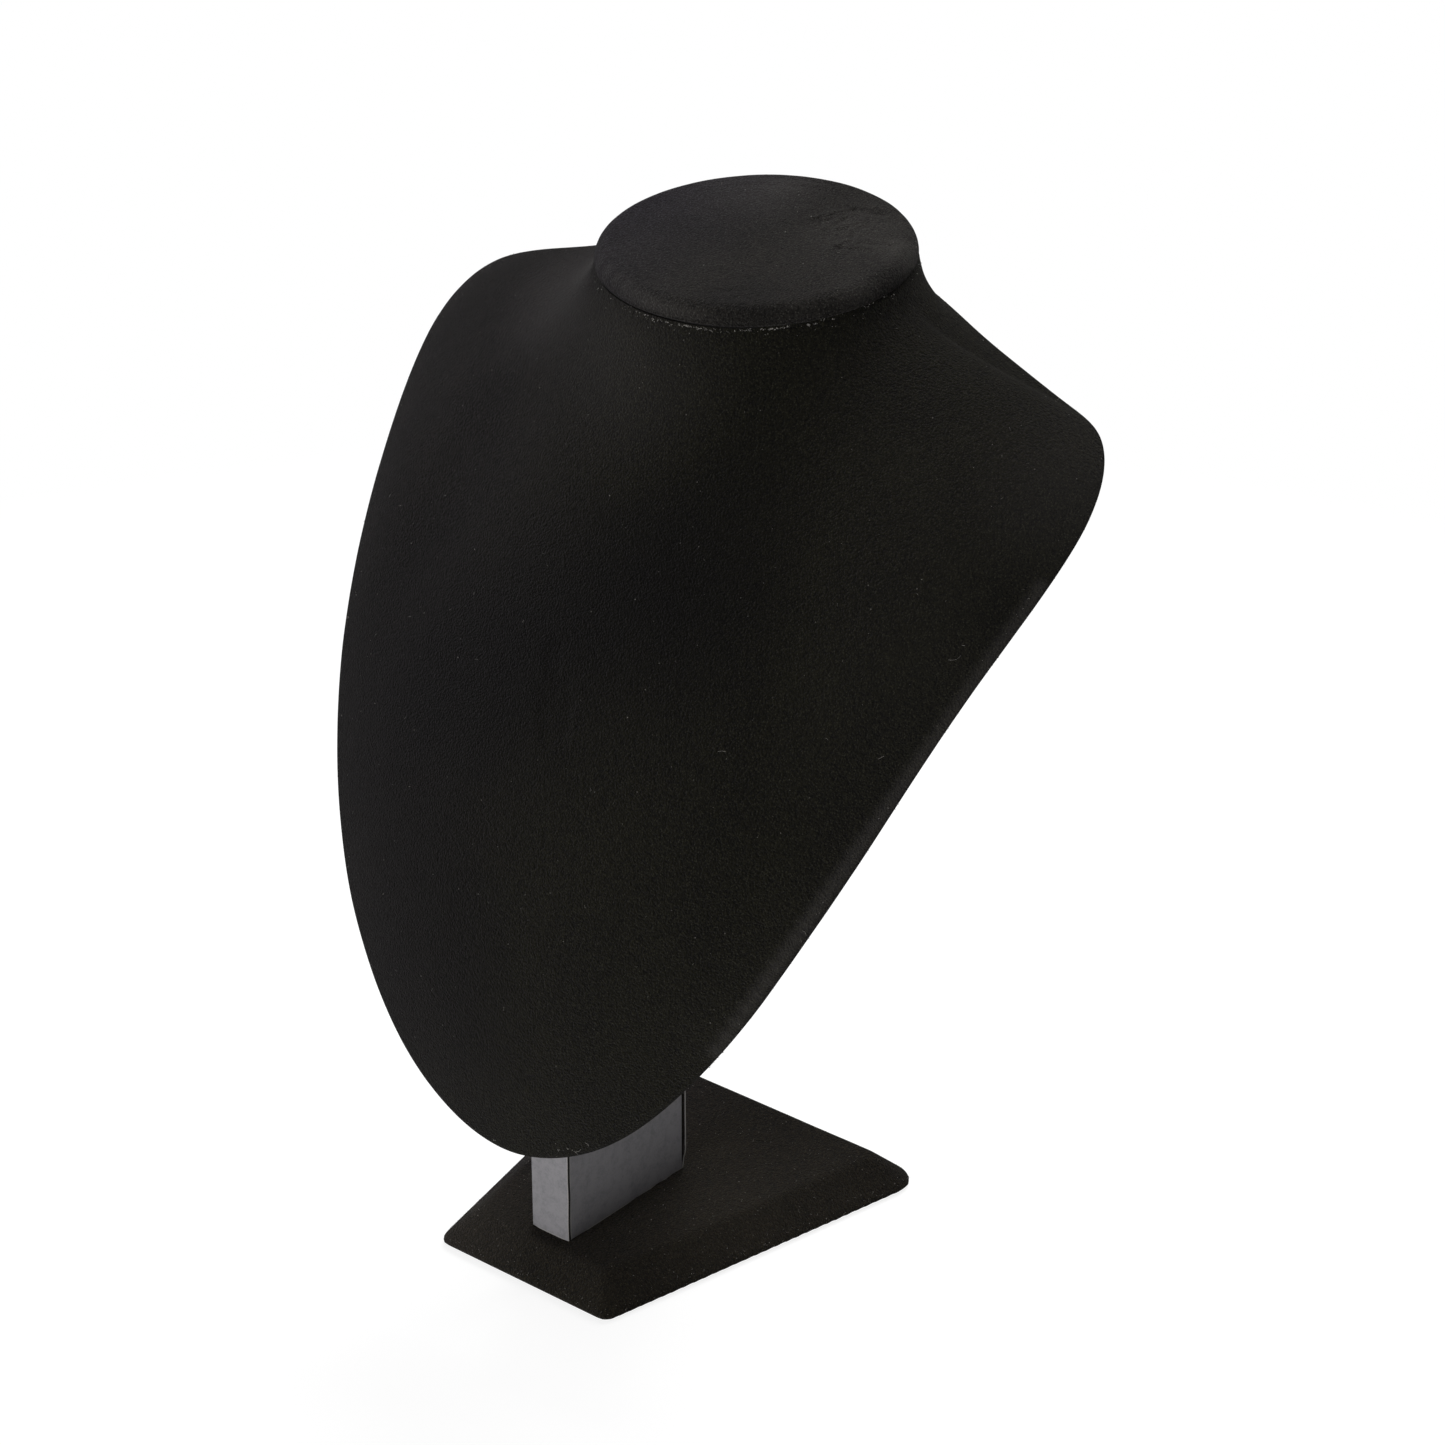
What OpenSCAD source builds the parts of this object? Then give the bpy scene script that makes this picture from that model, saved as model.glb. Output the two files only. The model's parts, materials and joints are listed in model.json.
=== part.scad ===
// Necklace stand: a velvet-covered neck and chest form on a wrapped board post and a bevelled base.
// Sizes are in millimetres. The origin is the middle of the underside of the base on the plane of
// symmetry, +Z is up, and the chest faces -Y.

/* [Base] */
// Width of the base board along its back edge
base_back_w = 133; // [116:1:160]
// Width of the base board along its front edge
base_front_w = 74; // [62:1:90]
// Depth of the base board from front to back
base_d = 134.5; // [124:0.5:160]
// Thickness of the base board
base_t = 10; // [8:0.5:16]
// How far the bevel takes the top face in from the foot
base_bevel = 10.5; // [4:0.5:14]
// Upright edge left under the bevel
base_land = 1; // [0.5:0.1:3]
// Radius of the two front corners at the foot
base_front_r = 4; // [2:0.5:8]
// Radius of the two back corners at the foot
base_back_r = 8; // [3:0.5:12]
// Radius of the four corners of the top face
base_top_r = 2; // [1:0.25:4]
// Thickness of the paper sheet under the base
sheet_t = 0.5; // [0.3:0.1:1.5]
// How far the sheet stays in from the edge of the covered base
sheet_inset = 4; // [2:0.5:8]

/* [Velvet] */
// Thickness of the velvet, pile included
velvet_t = 0.9; // [0.5:0.1:1.5]
// Width of velvet turned under the base board
base_hem = 14; // [10:1:20]
// Width of velvet turned over the rim to the inside of the bust
bust_hem = 13; // [6:1:18]
// Width of velvet turned onto the flat top of the neck
neck_hem = 9; // [5:1:14]
// Width of velvet turned under the cap
cap_hem = 12; // [6:1:18]

/* [Post] */
// Thickness of the post board
post_t = 15; // [12:0.5:18]
// Depth of the post board from front to back
post_d = 58.6; // [50:0.2:66]
// Distance of the post from the front edge of the base board
post_setback = 15.2; // [12:0.1:24]
// Height of the post board above the covered base
post_h = 236; // [222:1:244]
// Thickness of the folded wrap round the post
wrap_t = 0.6; // [0.4:0.1:1]
// Height of the wrap above the covered base
wrap_h = 158; // [100:1:164]
// Width of the open score line at the front corner of the wrap
score_w = 0.5; // [0.3:0.1:0.8]
// Share of the wrap's thickness that the score leaves uncut
score_left = 0.25; // [0.15:0.05:0.5]
// How far the loose edge of the wrap stands off behind the post
flap_lift = 1.7; // [0.7:0.1:2]

/* [Bust] */
// Height of the tip of the rim above the floor
tip_z = 57.5; // [50:0.5:64]
// How far the tip stands in front of the middle of the base
tip_y = 75; // [70:0.5:80]
// Height from the tip of the rim to the widest place of the shoulders
rim_h = 222.5; // [212:0.5:234]
// Greatest width, at the shoulders
shoulder_w = 273; // [260:0.5:288]
// Width of the rim three quarters of the way up from its tip
upper_w = 246; // [236:1:256]
// Width of the rim half way up from its tip
middle_w = 209; // [198:1:218]
// Width of the rim a quarter of the way up from its tip
lower_w = 154; // [144:1:164]
// Width of the rounded point, just above the tip
point_w = 81.5; // [74:0.5:90]
// Radius of the bend that the rim leans back along
lean_r = 370; // [350:1:400]
// Height at which that bend stands upright
lean_z = -2; // [-20:1:10]
// How far the top of the shoulder lies in from its widest place
shoulder_in = 27; // [22:1:32]
// How far the top of the shoulder lies behind its widest place
shoulder_back = 24; // [18:1:30]
// How far the top of the shoulder lies above its widest place
shoulder_rise = 21; // [18:1:28]
// How far the ridge of the shoulder sags on its way to the neck
ridge_sag = 1.2; // [0:0.1:6]
// Wall of the moulded bust
shell_t = 3; // [2:0.25:4]

/* [Neck and cap] */
// Width of the neck at its flat top
neck_w = 106.5; // [98:0.5:114]
// Depth of the neck at its flat top
neck_d = 95.5; // [88:0.5:104]
// How far the middle of the neck stands behind the middle of the base
neck_y = 55.5; // [52:0.5:60]
// Height of the middle of the flat top of the neck above the floor
neck_z = 331; // [326:0.5:337]
// Tilt of the flat top, with the back higher
neck_tilt = 8; // [5:0.5:12]
// Height of the neck's flat top above the rim at the nape
collar_h = 16; // [12:0.2:20]
// Thickness of the cap board
cap_t = 4; // [3:0.25:6]
// Rounding of the edge of the cap board
cap_edge_r = 1.8; // [0.5:0.1:2]

/* [Fixing] */
// Play between wood and the inside of the bust, filled with glue
glue_gap = 0.3; // [0.1:0.1:0.6]
// Width of the glue blocks beside the top of the post
block_w = 14; // [10:1:20]
// Height of the glue blocks
block_h = 44; // [30:1:50]
// Shank diameter of the screws
screw_d = 4; // [3:0.5:5]
// Head diameter of the screws
screw_head_d = 7.6; // [6:0.2:9]
// Length of the screws through the base into the post
base_screw_l = 40; // [30:1:50]
// Distance of the base screws from the front and back of the post
base_screw_in = 15; // [10:1:20]
// Length of the screws through the bust into the post
bust_screw_l = 25; // [18:1:30]
// Play round a screw in its hole
screw_play = 0.2; // [0.1:0.1:0.4]
// How far the bust screws are driven in under the face
screw_sink = 0.6; // [0.3:0.1:1.2]

/* [Hidden] */
$fn = 48;

// Levels from the floor up
hem_z = sheet_t;
board_z = hem_z + velvet_t;
board_top = board_z + base_t;
base_top = board_top + velvet_t;

// Ribs stand about this far apart along the rim, and each has this many steps
rib_pitch = 21;
rib_rows = 16;
// Handles of a rib as shares of its chord, at the neck and at the rim
neck_handle = 0.23;
rim_handle = 0.425;
// Outward flare of the neck just under its flat top
neck_flare = 0.2;
// Share of the rim's height at which the width of the point is given
point_at = 0.068;
// Turn from the widest place of the shoulder to the middle of its rounding
shoulder_turn = 50;
// Where the shoulder's ridge meets the foot of the neck, as shares of the neck's width and depth
foot_side = 0.47;
foot_front = 0.155;
// How far the foot of the neck lies under the rim at the nape
foot_drop = 3.5;
// Share of the way from the shoulder to the neck at which the ridge sags
sag_at = 0.6;

function unit(v) = v / norm(v);
function mirrored(q) = [for (k = [0:len(q) - 1]) k == 0 ? -q[k] : q[k]];
function half_turn(angle) = angle - 360 * round(angle / 360);
function reversed(list) = [for (i = [len(list) - 1:-1:0]) list[i]];

// The rim leans back along an arc that passes through its tip
function lean_rise(z) = lean_r - sqrt(lean_r^2 - (z - lean_z)^2);
function rim_at(w, part, slope) =
    let (z = tip_z + rim_h * part)
    [w / 2, lean_rise(z) - lean_rise(tip_z) - tip_y, z, slope];

// Half of the rim on the +X side, from the tip round the shoulder and along its ridge to the nape.
// The fourth number is how steeply the form rises inwards there, in degrees.
shoulder_y = rim_at(0, 1, 0)[1];
shoulder_z = tip_z + rim_h;
function shoulder_round(turn, slope) = [
    shoulder_w / 2 - shoulder_in * (1 - cos(turn)),
    shoulder_y + shoulder_back * sin(turn),
    shoulder_z + shoulder_rise * sin(turn),
    slope,
];
nape_y = neck_y + neck_d / 2 * cos(neck_tilt);
nape_z = neck_z + neck_d / 2 * sin(neck_tilt) - collar_h;
neck_foot = [neck_w * foot_side, nape_y - neck_d * foot_front, nape_z - foot_drop, 30];
half_rim_points = [
    rim_at(0, 0, 98),
    rim_at(point_w, point_at, 95),
    rim_at(lower_w, 1 / 4, 86),
    rim_at(middle_w, 1 / 2, 74),
    rim_at(upper_w, 3 / 4, 70),
    rim_at(shoulder_w, 1, 53),
    shoulder_round(shoulder_turn, 30),
    shoulder_round(90, 11),
    shoulder_round(90, 14) * (1 - sag_at) + neck_foot * sag_at - [0, 0, ridge_sag, 0],
    neck_foot,
    [0, nape_y + 1, nape_z, 88],
];

// A smooth curve through points, taken as mirrored past both ends; u runs from 0 to 1 on span i
function span_point(p, i, u) =
    let (
        last = len(p) - 1,
        a = i == 0 ? mirrored(p[1]) : p[i - 1],
        b = p[i],
        c = p[i + 1],
        d = i + 1 == last ? mirrored(p[last - 1]) : p[i + 2],
        ab = sqrt(norm(b - a)),
        bc = sqrt(norm(c - b)),
        cd = sqrt(norm(d - c)),
        from_b = ((b - a) / ab - (c - a) / (ab + bc)) * bc + c - b,
        into_c = ((d - c) / cd - (d - b) / (bc + cd)) * bc + c - b
    )
    (2 * u^3 - 3 * u^2 + 1) * b + (u^3 - 2 * u^2 + u) * from_b
        + (3 * u^2 - 2 * u^3) * c + (u^3 - u^2) * into_c;

half_rim = [
    for (i = [0:len(half_rim_points) - 2])
        let (count = ceil(norm(half_rim_points[i + 1] - half_rim_points[i]) / rib_pitch))
        for (k = [0:count - 1]) span_point(half_rim_points, i, k / count),
    half_rim_points[len(half_rim_points) - 1],
];
rim = concat(half_rim, [for (i = [len(half_rim) - 2:-1:1]) mirrored(half_rim[i])]);
ribs = len(rim);

// An oval ring in the plane of the neck's flat top, grown by g and raised by h square to that plane
function neck_ring_point(a, g, h) =
    let (x = (neck_w / 2 + g) * sin(a), v = -(neck_d / 2 + g) * cos(a))
    [
        x,
        neck_y + v * cos(neck_tilt) - h * sin(neck_tilt),
        neck_z + v * sin(neck_tilt) + h * cos(neck_tilt),
    ];

// Angle round the axis of the neck, from the front
function bearing(q) = atan2(q[0], neck_y - q[1]);

// One rib of the form, from the neck at s = 0 to the rim at s = 1: a cubic curve in the upright
// plane through the axis of the neck, which turns from the neck's bearing to the rim's on its way
function rib_point(q, s) =
    let (
        a = bearing(q),
        p = neck_ring_point(a, 0, 0),
        start = [norm([p[0], p[1] - neck_y]), p[2]],
        end = [norm([q[0], q[1] - neck_y]), q[2]],
        chord = norm(end - start),
        start_pull = start + neck_handle * chord * [neck_flare, -1],
        end_pull = end + rim_handle * chord * [-cos(q[3]), sin(q[3])],
        c = (1 - s)^3 * start + 3 * (1 - s)^2 * s * start_pull
            + 3 * (1 - s) * s^2 * end_pull + s^3 * end,
        turn = a + half_turn(bearing(p) - a) * (1 - s)^2
    )
    [c[0] * sin(turn), neck_y - c[0] * cos(turn), c[1]];

// The outer face of the moulded bust as rows of points, from the neck down to the rim
form = [for (j = [0:rib_rows]) [for (q = rim) rib_point(q, j / rib_rows)]];

// Outward direction of the form at row j of rib i
function form_normal(j, i) =
    let (
        across = form[j][(i + 1) % ribs] - form[j][(i + ribs - 1) % ribs],
        down = form[min(j + 1, rib_rows)][i] - form[max(j - 1, 0)][i]
    )
    unit(cross(down, across));
normals = [for (j = [0:rib_rows]) [for (i = [0:ribs - 1]) form_normal(j, i)]];

// Direction out of the rim, along the form and square to the rim
function rim_out(i) = unit(cross(rim_tangent(i), normals[rib_rows][i]));
function rim_tangent(i) =
    form[rib_rows][(i + 1) % ribs] - form[rib_rows][(i + ribs - 1) % ribs];

// A row of the form moved outwards by g, and at the rim also by e past its edge
function row_moved(j, g) = [for (i = [0:ribs - 1]) form[j][i] + g * normals[j][i]];
function rim_moved(g, e) =
    [for (i = [0:ribs - 1]) form[rib_rows][i] + g * normals[rib_rows][i] + e * rim_out(i)];
function neck_ring(g, h) = [for (q = rim) neck_ring_point(bearing(q), g, h)];
function cap_ring(g, h) = [for (a = [0:9:351]) neck_ring_point(a, g, h)];

// A solid through rings of equal count. With poles it starts and ends in a point, and without
// them its last ring is joined to its first.
module ring_solid(rings, poles = [], flip = false) {
    count = len(rings[0]);
    last = len(rings) - 1;
    joined = len(poles) == 0;
    top = (last + 1) * count;
    between = [
        for (r = [0:joined ? last : last - 1], i = [0:count - 1])
            let (
                a = r * count + i,
                b = r * count + (i + 1) % count,
                c = (r + 1) % (last + 1) * count + (i + 1) % count,
                d = (r + 1) % (last + 1) * count + i
            )
            each [[a, b, c], [a, c, d]]
    ];
    ends = joined ? [] : [
        for (i = [0:count - 1])
            let (k = (i + 1) % count)
            each [[top, k, i], [top + 1, last * count + i, last * count + k]]
    ];
    faces = concat(between, ends);
    polyhedron(
        concat([for (ring = rings) each ring], poles),
        flip ? [for (f = faces) reversed(f)] : faces
    );
}

// The inside of the wall, a depth under the form. Its rows start under the flat top and end at the
// rim, and the last but one lies where the turned velvet ends.
function inner_row(j, depth) =
    j == 0 ? neck_ring(-depth, -depth)
    : j == rib_rows ? rim_moved(-depth, 0)
    : [
        for (i = [0:ribs - 1])
            let (
                reach = norm(form[rib_rows][i] - form[0][i]),
                skip = min(0.4, depth / (3 * neck_handle * reach)),
                hem = 1 - min(bust_hem, reach / 2) / reach,
                row = rib_rows * (skip + (hem - skip) * j / (rib_rows - 1)),
                low = floor(row),
                u = row - low,
                p = form[low][i] * (1 - u) + form[low + 1][i] * u,
                square_out = unit(normals[low][i] * (1 - u) + normals[low + 1][i] * u)
            )
            p - depth * square_out
    ];
function hem_row(depth) = inner_row(rib_rows - 1, depth);

// How far the shape that hollows the bust reaches behind its rim
hollow_d = 400;

// The hollow of the bust at a depth under its outer face, closed behind the rim
module bust_hollow(depth) {
    behind = [0, hollow_d, 0];
    ring_solid(
        concat(
            [for (j = [0:rib_rows]) inner_row(j, depth)],
            [[for (q = rim_moved(-depth, 0)) q + behind]]
        ),
        [neck_ring_point(0, -neck_d / 2, -depth), [0, hollow_d * 1.25, shoulder_z - rim_h / 2]]
    );
}

// Outline of the base board on plan as its four corners, taken in by g
function base_corner(side, back, g) =
    let (
        y = back ? base_d / 2 - g : g - base_d / 2,
        slant = (base_back_w - base_front_w) / 2 / base_d,
        x = base_front_w / 2 + slant * (y + base_d / 2) - g * sqrt(1 + slant^2)
    )
    [side * x, y];

// The bevelled block, grown by g on its sides and top, from z = bottom
module base_block(g, bottom) {
    hull()
        for (side = [-1, 1], back = [false, true]) {
            foot_r = (back ? base_back_r : base_front_r);
            foot = base_corner(side, back, foot_r);
            top = base_corner(side, back, base_bevel + base_top_r);
            translate([foot[0], foot[1], bottom])
                cylinder(h = board_z + base_land - bottom, r = foot_r + g, $fn = 32);
            translate([top[0], top[1], board_z + base_t / 2])
                cylinder(h = base_t / 2 + g, r = base_top_r + g, $fn = 32);
        }
}

module base_outline(g) {
    hull()
        for (side = [-1, 1], back = [false, true]) {
            foot_r = (back ? base_back_r : base_front_r);
            translate(base_corner(side, back, foot_r))
                circle(r = foot_r + g, $fn = 32);
        }
}

// Place of the post on the base
post_front = post_setback - base_d / 2;
post_back = post_front + post_d;
base_screw_ys = [post_front + base_screw_in, post_back - base_screw_in];

// A countersunk screw with its head's flat face at the origin, pointing along +Z
head_h = (screw_head_d - screw_d) / 2;
module screw(length, grow = 0) {
    cylinder(h = head_h, r1 = screw_head_d / 2 + grow, r2 = screw_d / 2 + grow);
    cylinder(h = length - screw_d / 2, r = screw_d / 2 + grow);
    translate([0, 0, length - screw_d / 2])
        cylinder(h = screw_d / 2, r1 = screw_d / 2 + grow, r2 = screw_d / 8 + grow);
}

// The hole for a screw whose head stands a little under the face
module screw_hole(length, sink = 0) {
    screw(length, screw_play / 2);
    translate([0, 0, -2 * sink])
        cylinder(h = 2 * sink, r = (screw_head_d + screw_play) / 2);
}

module driven_screw(length) {
    difference() {
        screw(length);
        for (turn = [0, 90])
            rotate([0, 0, turn])
                cube([screw_head_d * 0.6, screw_d * 0.22, head_h], center = true);
    }
}

module at_base_screws() {
    for (y = base_screw_ys)
        translate([0, y, board_z])
            children();
}

// The bust screws go in square to the chest, at these heights above the covered base
bust_screw_low = 6;
bust_screw_high = 10;
bust_screw_zs = [post_h - block_h + bust_screw_low, post_h - bust_screw_high];
front_profile = [for (j = [0:rib_rows]) form[j][0]];
function profile_below(z, j = 0) =
    front_profile[j + 1][2] <= z || j + 1 == rib_rows ? j : profile_below(z, j + 1);
module at_bust_screws() {
    for (h = bust_screw_zs) {
        z = base_top + h;
        j = profile_below(z);
        a = front_profile[j];
        b = front_profile[j + 1];
        p = a + (b - a) * (a[2] - z) / (a[2] - b[2]);
        steep = atan2(a[2] - b[2], a[1] - b[1]);
        translate(p)
            rotate([steep - 180, 0, 0])
                translate([0, 0, screw_sink])
                    children();
    }
}

module base_board() {
    color("saddlebrown")
        difference() {
            base_block(0, board_z);
            at_base_screws()
                screw_hole(base_screw_l);
        }
}

module base_velvet() {
    color("black")
        difference() {
            base_block(velvet_t, hem_z);
            base_block(0, board_z);
            translate([0, 0, -1])
                linear_extrude(board_z + 1)
                    offset(delta = -base_hem)
                        base_outline(0);
            at_base_screws()
                cylinder(h = base_screw_l, r = screw_d / 2 + screw_play / 2);
        }
}

module base_sheet() {
    color("dimgray")
        linear_extrude(sheet_t)
            offset(delta = velvet_t - sheet_inset)
                base_outline(0);
}

module base_screws() {
    color("silver")
        at_base_screws()
            driven_screw(base_screw_l);
}

module post_block(x, w, y, d, z, h) {
    translate([x - w / 2, y, z])
        cube([w, d, h]);
}

module post_board() {
    color("tan")
        difference() {
            intersection() {
                post_block(0, post_t, post_front, post_d, base_top, post_h);
                bust_or_below();
            }
            at_base_screws()
                screw_hole(base_screw_l);
            at_bust_screws()
                screw_hole(bust_screw_l, screw_sink);
        }
}

// The inside of the bust less the glue, and the room below it for the post
module bust_or_below() {
    bust_hollow(shell_t + glue_gap);
    post_block(0, 2 * post_t, post_front - 1, post_d + 2, base_top - 1, wrap_h + 1);
}

// The wrap is one strip. It starts at the loose edge behind the post, goes round the left side and
// the front, and ends at the back of the right side. A score line opens its front right corner.
module post_wrap() {
    x = post_t / 2;
    out = x + wrap_t;
    front = post_front - wrap_t;
    back = post_back + wrap_t;
    score_x = x + wrap_t * score_left;
    score_y = post_front + score_w;
    middle_lift = flap_lift * 0.3;
    color("gray")
        translate([0, 0, base_top])
            linear_extrude(wrap_h)
                polygon([
                    [out, back + flap_lift], [0, back + middle_lift], [-out, back],
                    [-out, front], [out, front],
                    [out, post_front], [score_x, post_front], [score_x, score_y], [out, score_y],
                    [out, post_back], [x, post_back],
                    [x, post_front], [-x, post_front],
                    [-x, post_back], [0, post_back + middle_lift], [out, post_back + flap_lift],
                ]);
}

module glue_block(side) {
    color("burlywood")
        intersection() {
            post_block(
                side * (post_t + block_w) / 2, block_w,
                post_front, post_d * 0.75,
                base_top + post_h - block_h, block_h
            );
            bust_hollow(shell_t + glue_gap);
            glue_block_back(side);
        }
}

// The block is cut parallel to the chest at its back
module glue_block_back(side) {
    a = front_profile[profile_below(base_top + post_h - block_h)];
    b = front_profile[profile_below(base_top + post_h)];
    reach = post_h;
    translate([side * (post_t + block_w) / 2 - block_w, a[1] + block_w, a[2]])
        rotate([atan2(b[2] - a[2], b[1] - a[1]) - 90, 0, 0])
            translate([0, -reach, -reach])
                cube([2 * block_w, reach + shell_t + glue_gap, 2 * reach]);
}

module left_glue_block() {
    glue_block(-1);
}

module right_glue_block() {
    glue_block(1);
}

module bust_shell() {
    color("dimgray")
        difference() {
            ring_solid(
                concat(form, [for (j = [rib_rows:-1:0]) inner_row(j, shell_t)]),
                [neck_ring_point(0, -neck_d / 2, 0), neck_ring_point(0, -neck_d / 2, -shell_t)]
            );
            at_bust_screws()
                screw_hole(bust_screw_l, screw_sink);
        }
}

module bust_screws() {
    color("silver")
        at_bust_screws()
            driven_screw(bust_screw_l);
}

module bust_velvet() {
    fold = velvet_t * 0.7;
    color("black")
        ring_solid(concat(
            [neck_ring(-neck_hem, 0)],
            form,
            [rim_moved(-shell_t, 0), hem_row(shell_t)],
            [
                hem_row(shell_t + velvet_t),
                rim_moved(-shell_t - velvet_t, 0),
                rim_moved(-shell_t - fold, fold),
                rim_moved(fold, fold),
            ],
            [for (j = [rib_rows:-1:1]) row_moved(j, velvet_t)],
            [neck_ring(velvet_t, 0), neck_ring(velvet_t * 0.7, velvet_t * 0.7), neck_ring(0, velvet_t)],
            [neck_ring(-neck_hem, velvet_t)]
        ), flip = true);
}

// Rings up the rounded edge of the cap board, grown by g: the board is flush with the bust's velvet
cap_z = 2 * velvet_t;
function cap_edge(g) = [
    for (k = [-90:45:90])
        let (
            middle = k < 0 ? cap_edge_r : cap_t - cap_edge_r,
            r = cap_edge_r + g
        )
        cap_ring(r * cos(k) - cap_edge_r, cap_z + middle + r * sin(k))
];

function cap_middle(h) = neck_ring_point(0, -neck_d / 2, h);

module cap_board() {
    color("saddlebrown")
        ring_solid(cap_edge(0), [cap_middle(cap_z), cap_middle(cap_z + cap_t)], flip = true);
}

module cap_velvet() {
    color("black")
        ring_solid(
            concat(
                reversed(cap_edge(velvet_t)),
                [cap_ring(-cap_hem, cap_z - velvet_t), cap_ring(-cap_hem, cap_z)],
                cap_edge(0)
            ),
            [cap_middle(cap_z + cap_t + velvet_t), cap_middle(cap_z + cap_t)]
        );
}

base_board();
base_velvet();
base_sheet();
base_screws();
post_board();
post_wrap();
left_glue_block();
right_glue_block();
bust_shell();
bust_screws();
bust_velvet();
cap_board();
cap_velvet();
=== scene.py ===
"""Dresses the necklace stand: velvet over the bust, cap and base, a folded wrap on the post,
boards, fixings and the lint that velvet picks up. Sizes are in millimetres unless a name says
otherwise, and turn to metres where they meet the mesh."""

import json
import math
import random

import bmesh
import bpy
from bpy.props import FloatProperty, FloatVectorProperty, IntProperty, PointerProperty
from mathutils import Matrix, Vector, kdtree, noise
from mathutils.bvhtree import BVHTree

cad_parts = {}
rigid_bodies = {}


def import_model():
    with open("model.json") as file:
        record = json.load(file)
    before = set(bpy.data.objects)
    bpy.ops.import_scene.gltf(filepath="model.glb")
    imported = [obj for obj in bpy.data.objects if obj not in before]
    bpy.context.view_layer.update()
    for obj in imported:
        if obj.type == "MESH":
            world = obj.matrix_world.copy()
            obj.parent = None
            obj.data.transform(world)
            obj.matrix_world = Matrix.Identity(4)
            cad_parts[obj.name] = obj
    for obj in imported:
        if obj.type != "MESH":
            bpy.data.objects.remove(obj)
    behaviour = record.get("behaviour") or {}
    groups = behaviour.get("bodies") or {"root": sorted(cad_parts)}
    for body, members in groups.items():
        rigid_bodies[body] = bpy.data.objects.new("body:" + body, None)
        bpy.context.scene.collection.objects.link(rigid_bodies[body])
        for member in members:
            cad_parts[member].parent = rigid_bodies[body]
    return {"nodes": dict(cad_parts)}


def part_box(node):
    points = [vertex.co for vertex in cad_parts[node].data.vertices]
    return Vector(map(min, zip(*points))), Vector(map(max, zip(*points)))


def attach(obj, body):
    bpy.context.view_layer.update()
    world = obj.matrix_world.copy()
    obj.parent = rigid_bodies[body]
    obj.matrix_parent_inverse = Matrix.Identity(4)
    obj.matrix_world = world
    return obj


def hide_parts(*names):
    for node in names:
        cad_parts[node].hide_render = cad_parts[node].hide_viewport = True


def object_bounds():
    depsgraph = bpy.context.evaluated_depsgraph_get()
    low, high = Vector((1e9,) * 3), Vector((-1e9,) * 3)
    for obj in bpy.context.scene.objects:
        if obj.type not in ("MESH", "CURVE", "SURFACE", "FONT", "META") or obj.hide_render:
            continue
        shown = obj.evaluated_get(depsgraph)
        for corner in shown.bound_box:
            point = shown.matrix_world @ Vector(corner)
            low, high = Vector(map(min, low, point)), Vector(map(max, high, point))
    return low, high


bl_info = {
    "name": "Necklace Stand",
    "version": (1, 0, 0),
    "blender": (4, 5, 0),
    "location": "3D View > Sidebar > Necklace Stand",
    "description": "Lays velvet, wrap, boards and lint on the solids of a necklace stand",
    "category": "Add Mesh",
}

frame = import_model()
CAD_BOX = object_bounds()

MM = 0.001
BODY = "root"
WELD = 1e-6
CHEST_NODE = "bust_velvet"
# The seam under the cap lies this far below the cap's top, in mm, and the cap hides this radius
SEAM_BELOW = 7.0
CAP_HIDES = 50.5

# The photograph's camera: where it looks, from where, and how long its lens is for 1445 pixels
PHOTO_SIDE = 1445
PHOTO_FOCUS_PX = 4000
CAMERA_AZIMUTH = 39.52
CAMERA_ELEVATION = 26.33
CAMERA_DISTANCE = 1290.2
CAMERA_TARGET = (31.8, 0.0, 195.1)
SENSOR = 36.0

WHITE = (1.0, 1.0, 1.0, 1.0)
# Every lamp is a square of this side, in metres, and looks at this place
LAMP_SIZE = 1.4
LAMP_TARGET = Vector((0.0, 0.0, 0.2))

# Creases in the cap's velvet, in its own plane from its middle: start, end, depth and width
CAP_CREASES = (
    ((8.5, 19.0), (16.5, 32.0), 0.50, 0.8),
    ((12.0, 19.0), (16.0, 28.0), 0.36, 0.7),
    ((14.0, 31.0), (26.0, 33.0), 0.36, 1.9),
    ((26.0, 33.0), (41.0, 30.0), 0.28, 2.4),
    ((17.2, 14.5), (17.6, 25.0), 0.36, 0.8),
    ((21.0, 17.0), (24.5, 24.5), 0.34, 0.9),
    ((28.5, 2.5), (29.5, 12.5), 0.34, 0.8),
    ((29.5, 12.5), (25.5, 21.5), 0.36, 0.9),
    ((28.0, 7.0), (40.0, 9.5), 0.30, 1.0),
    ((33.0, 13.0), (44.0, 17.0), 0.28, 1.2),
    ((12.5, -37.0), (22.0, -30.0), 0.16, 1.6),
)
# The cap's small patch of gathers: its middle, its reach, its depth
CAP_GATHERS = ((27.0, 18.0), 13.0, 0.45)
# Long soft folds along the back of the cap: how far from the edge they lie, how deep, how wide
CAP_BACK_FOLDS = ((4.0, 0.4, 1.6), (8.5, 0.52, 1.9), (14.0, 0.28, 2.6))

# The seam under the cap as it shows in the photograph, by pixel column and row
SEAM_COLUMNS = (597, 639, 670, 701, 736, 774, 811, 843, 874, 899, 918)
SEAM_ROWS = (272.6, 307.0, 318.0, 323.5, 325.4, 323.8, 318.8, 310.0, 298.0, 282.0, 257.0)
# Fluff under the seam: first and last column, clumps, and how far they stray below, in pixels
SEAM_CLUSTERS = (
    (604, 640, 12, 4.0), (640, 676, 14, 2.6), (676, 706, 18, 0.8), (706, 738, 7, 1.2),
    (738, 790, 22, 0.9), (790, 832, 13, 1.2), (832, 900, 9, 2.0),
)

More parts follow.
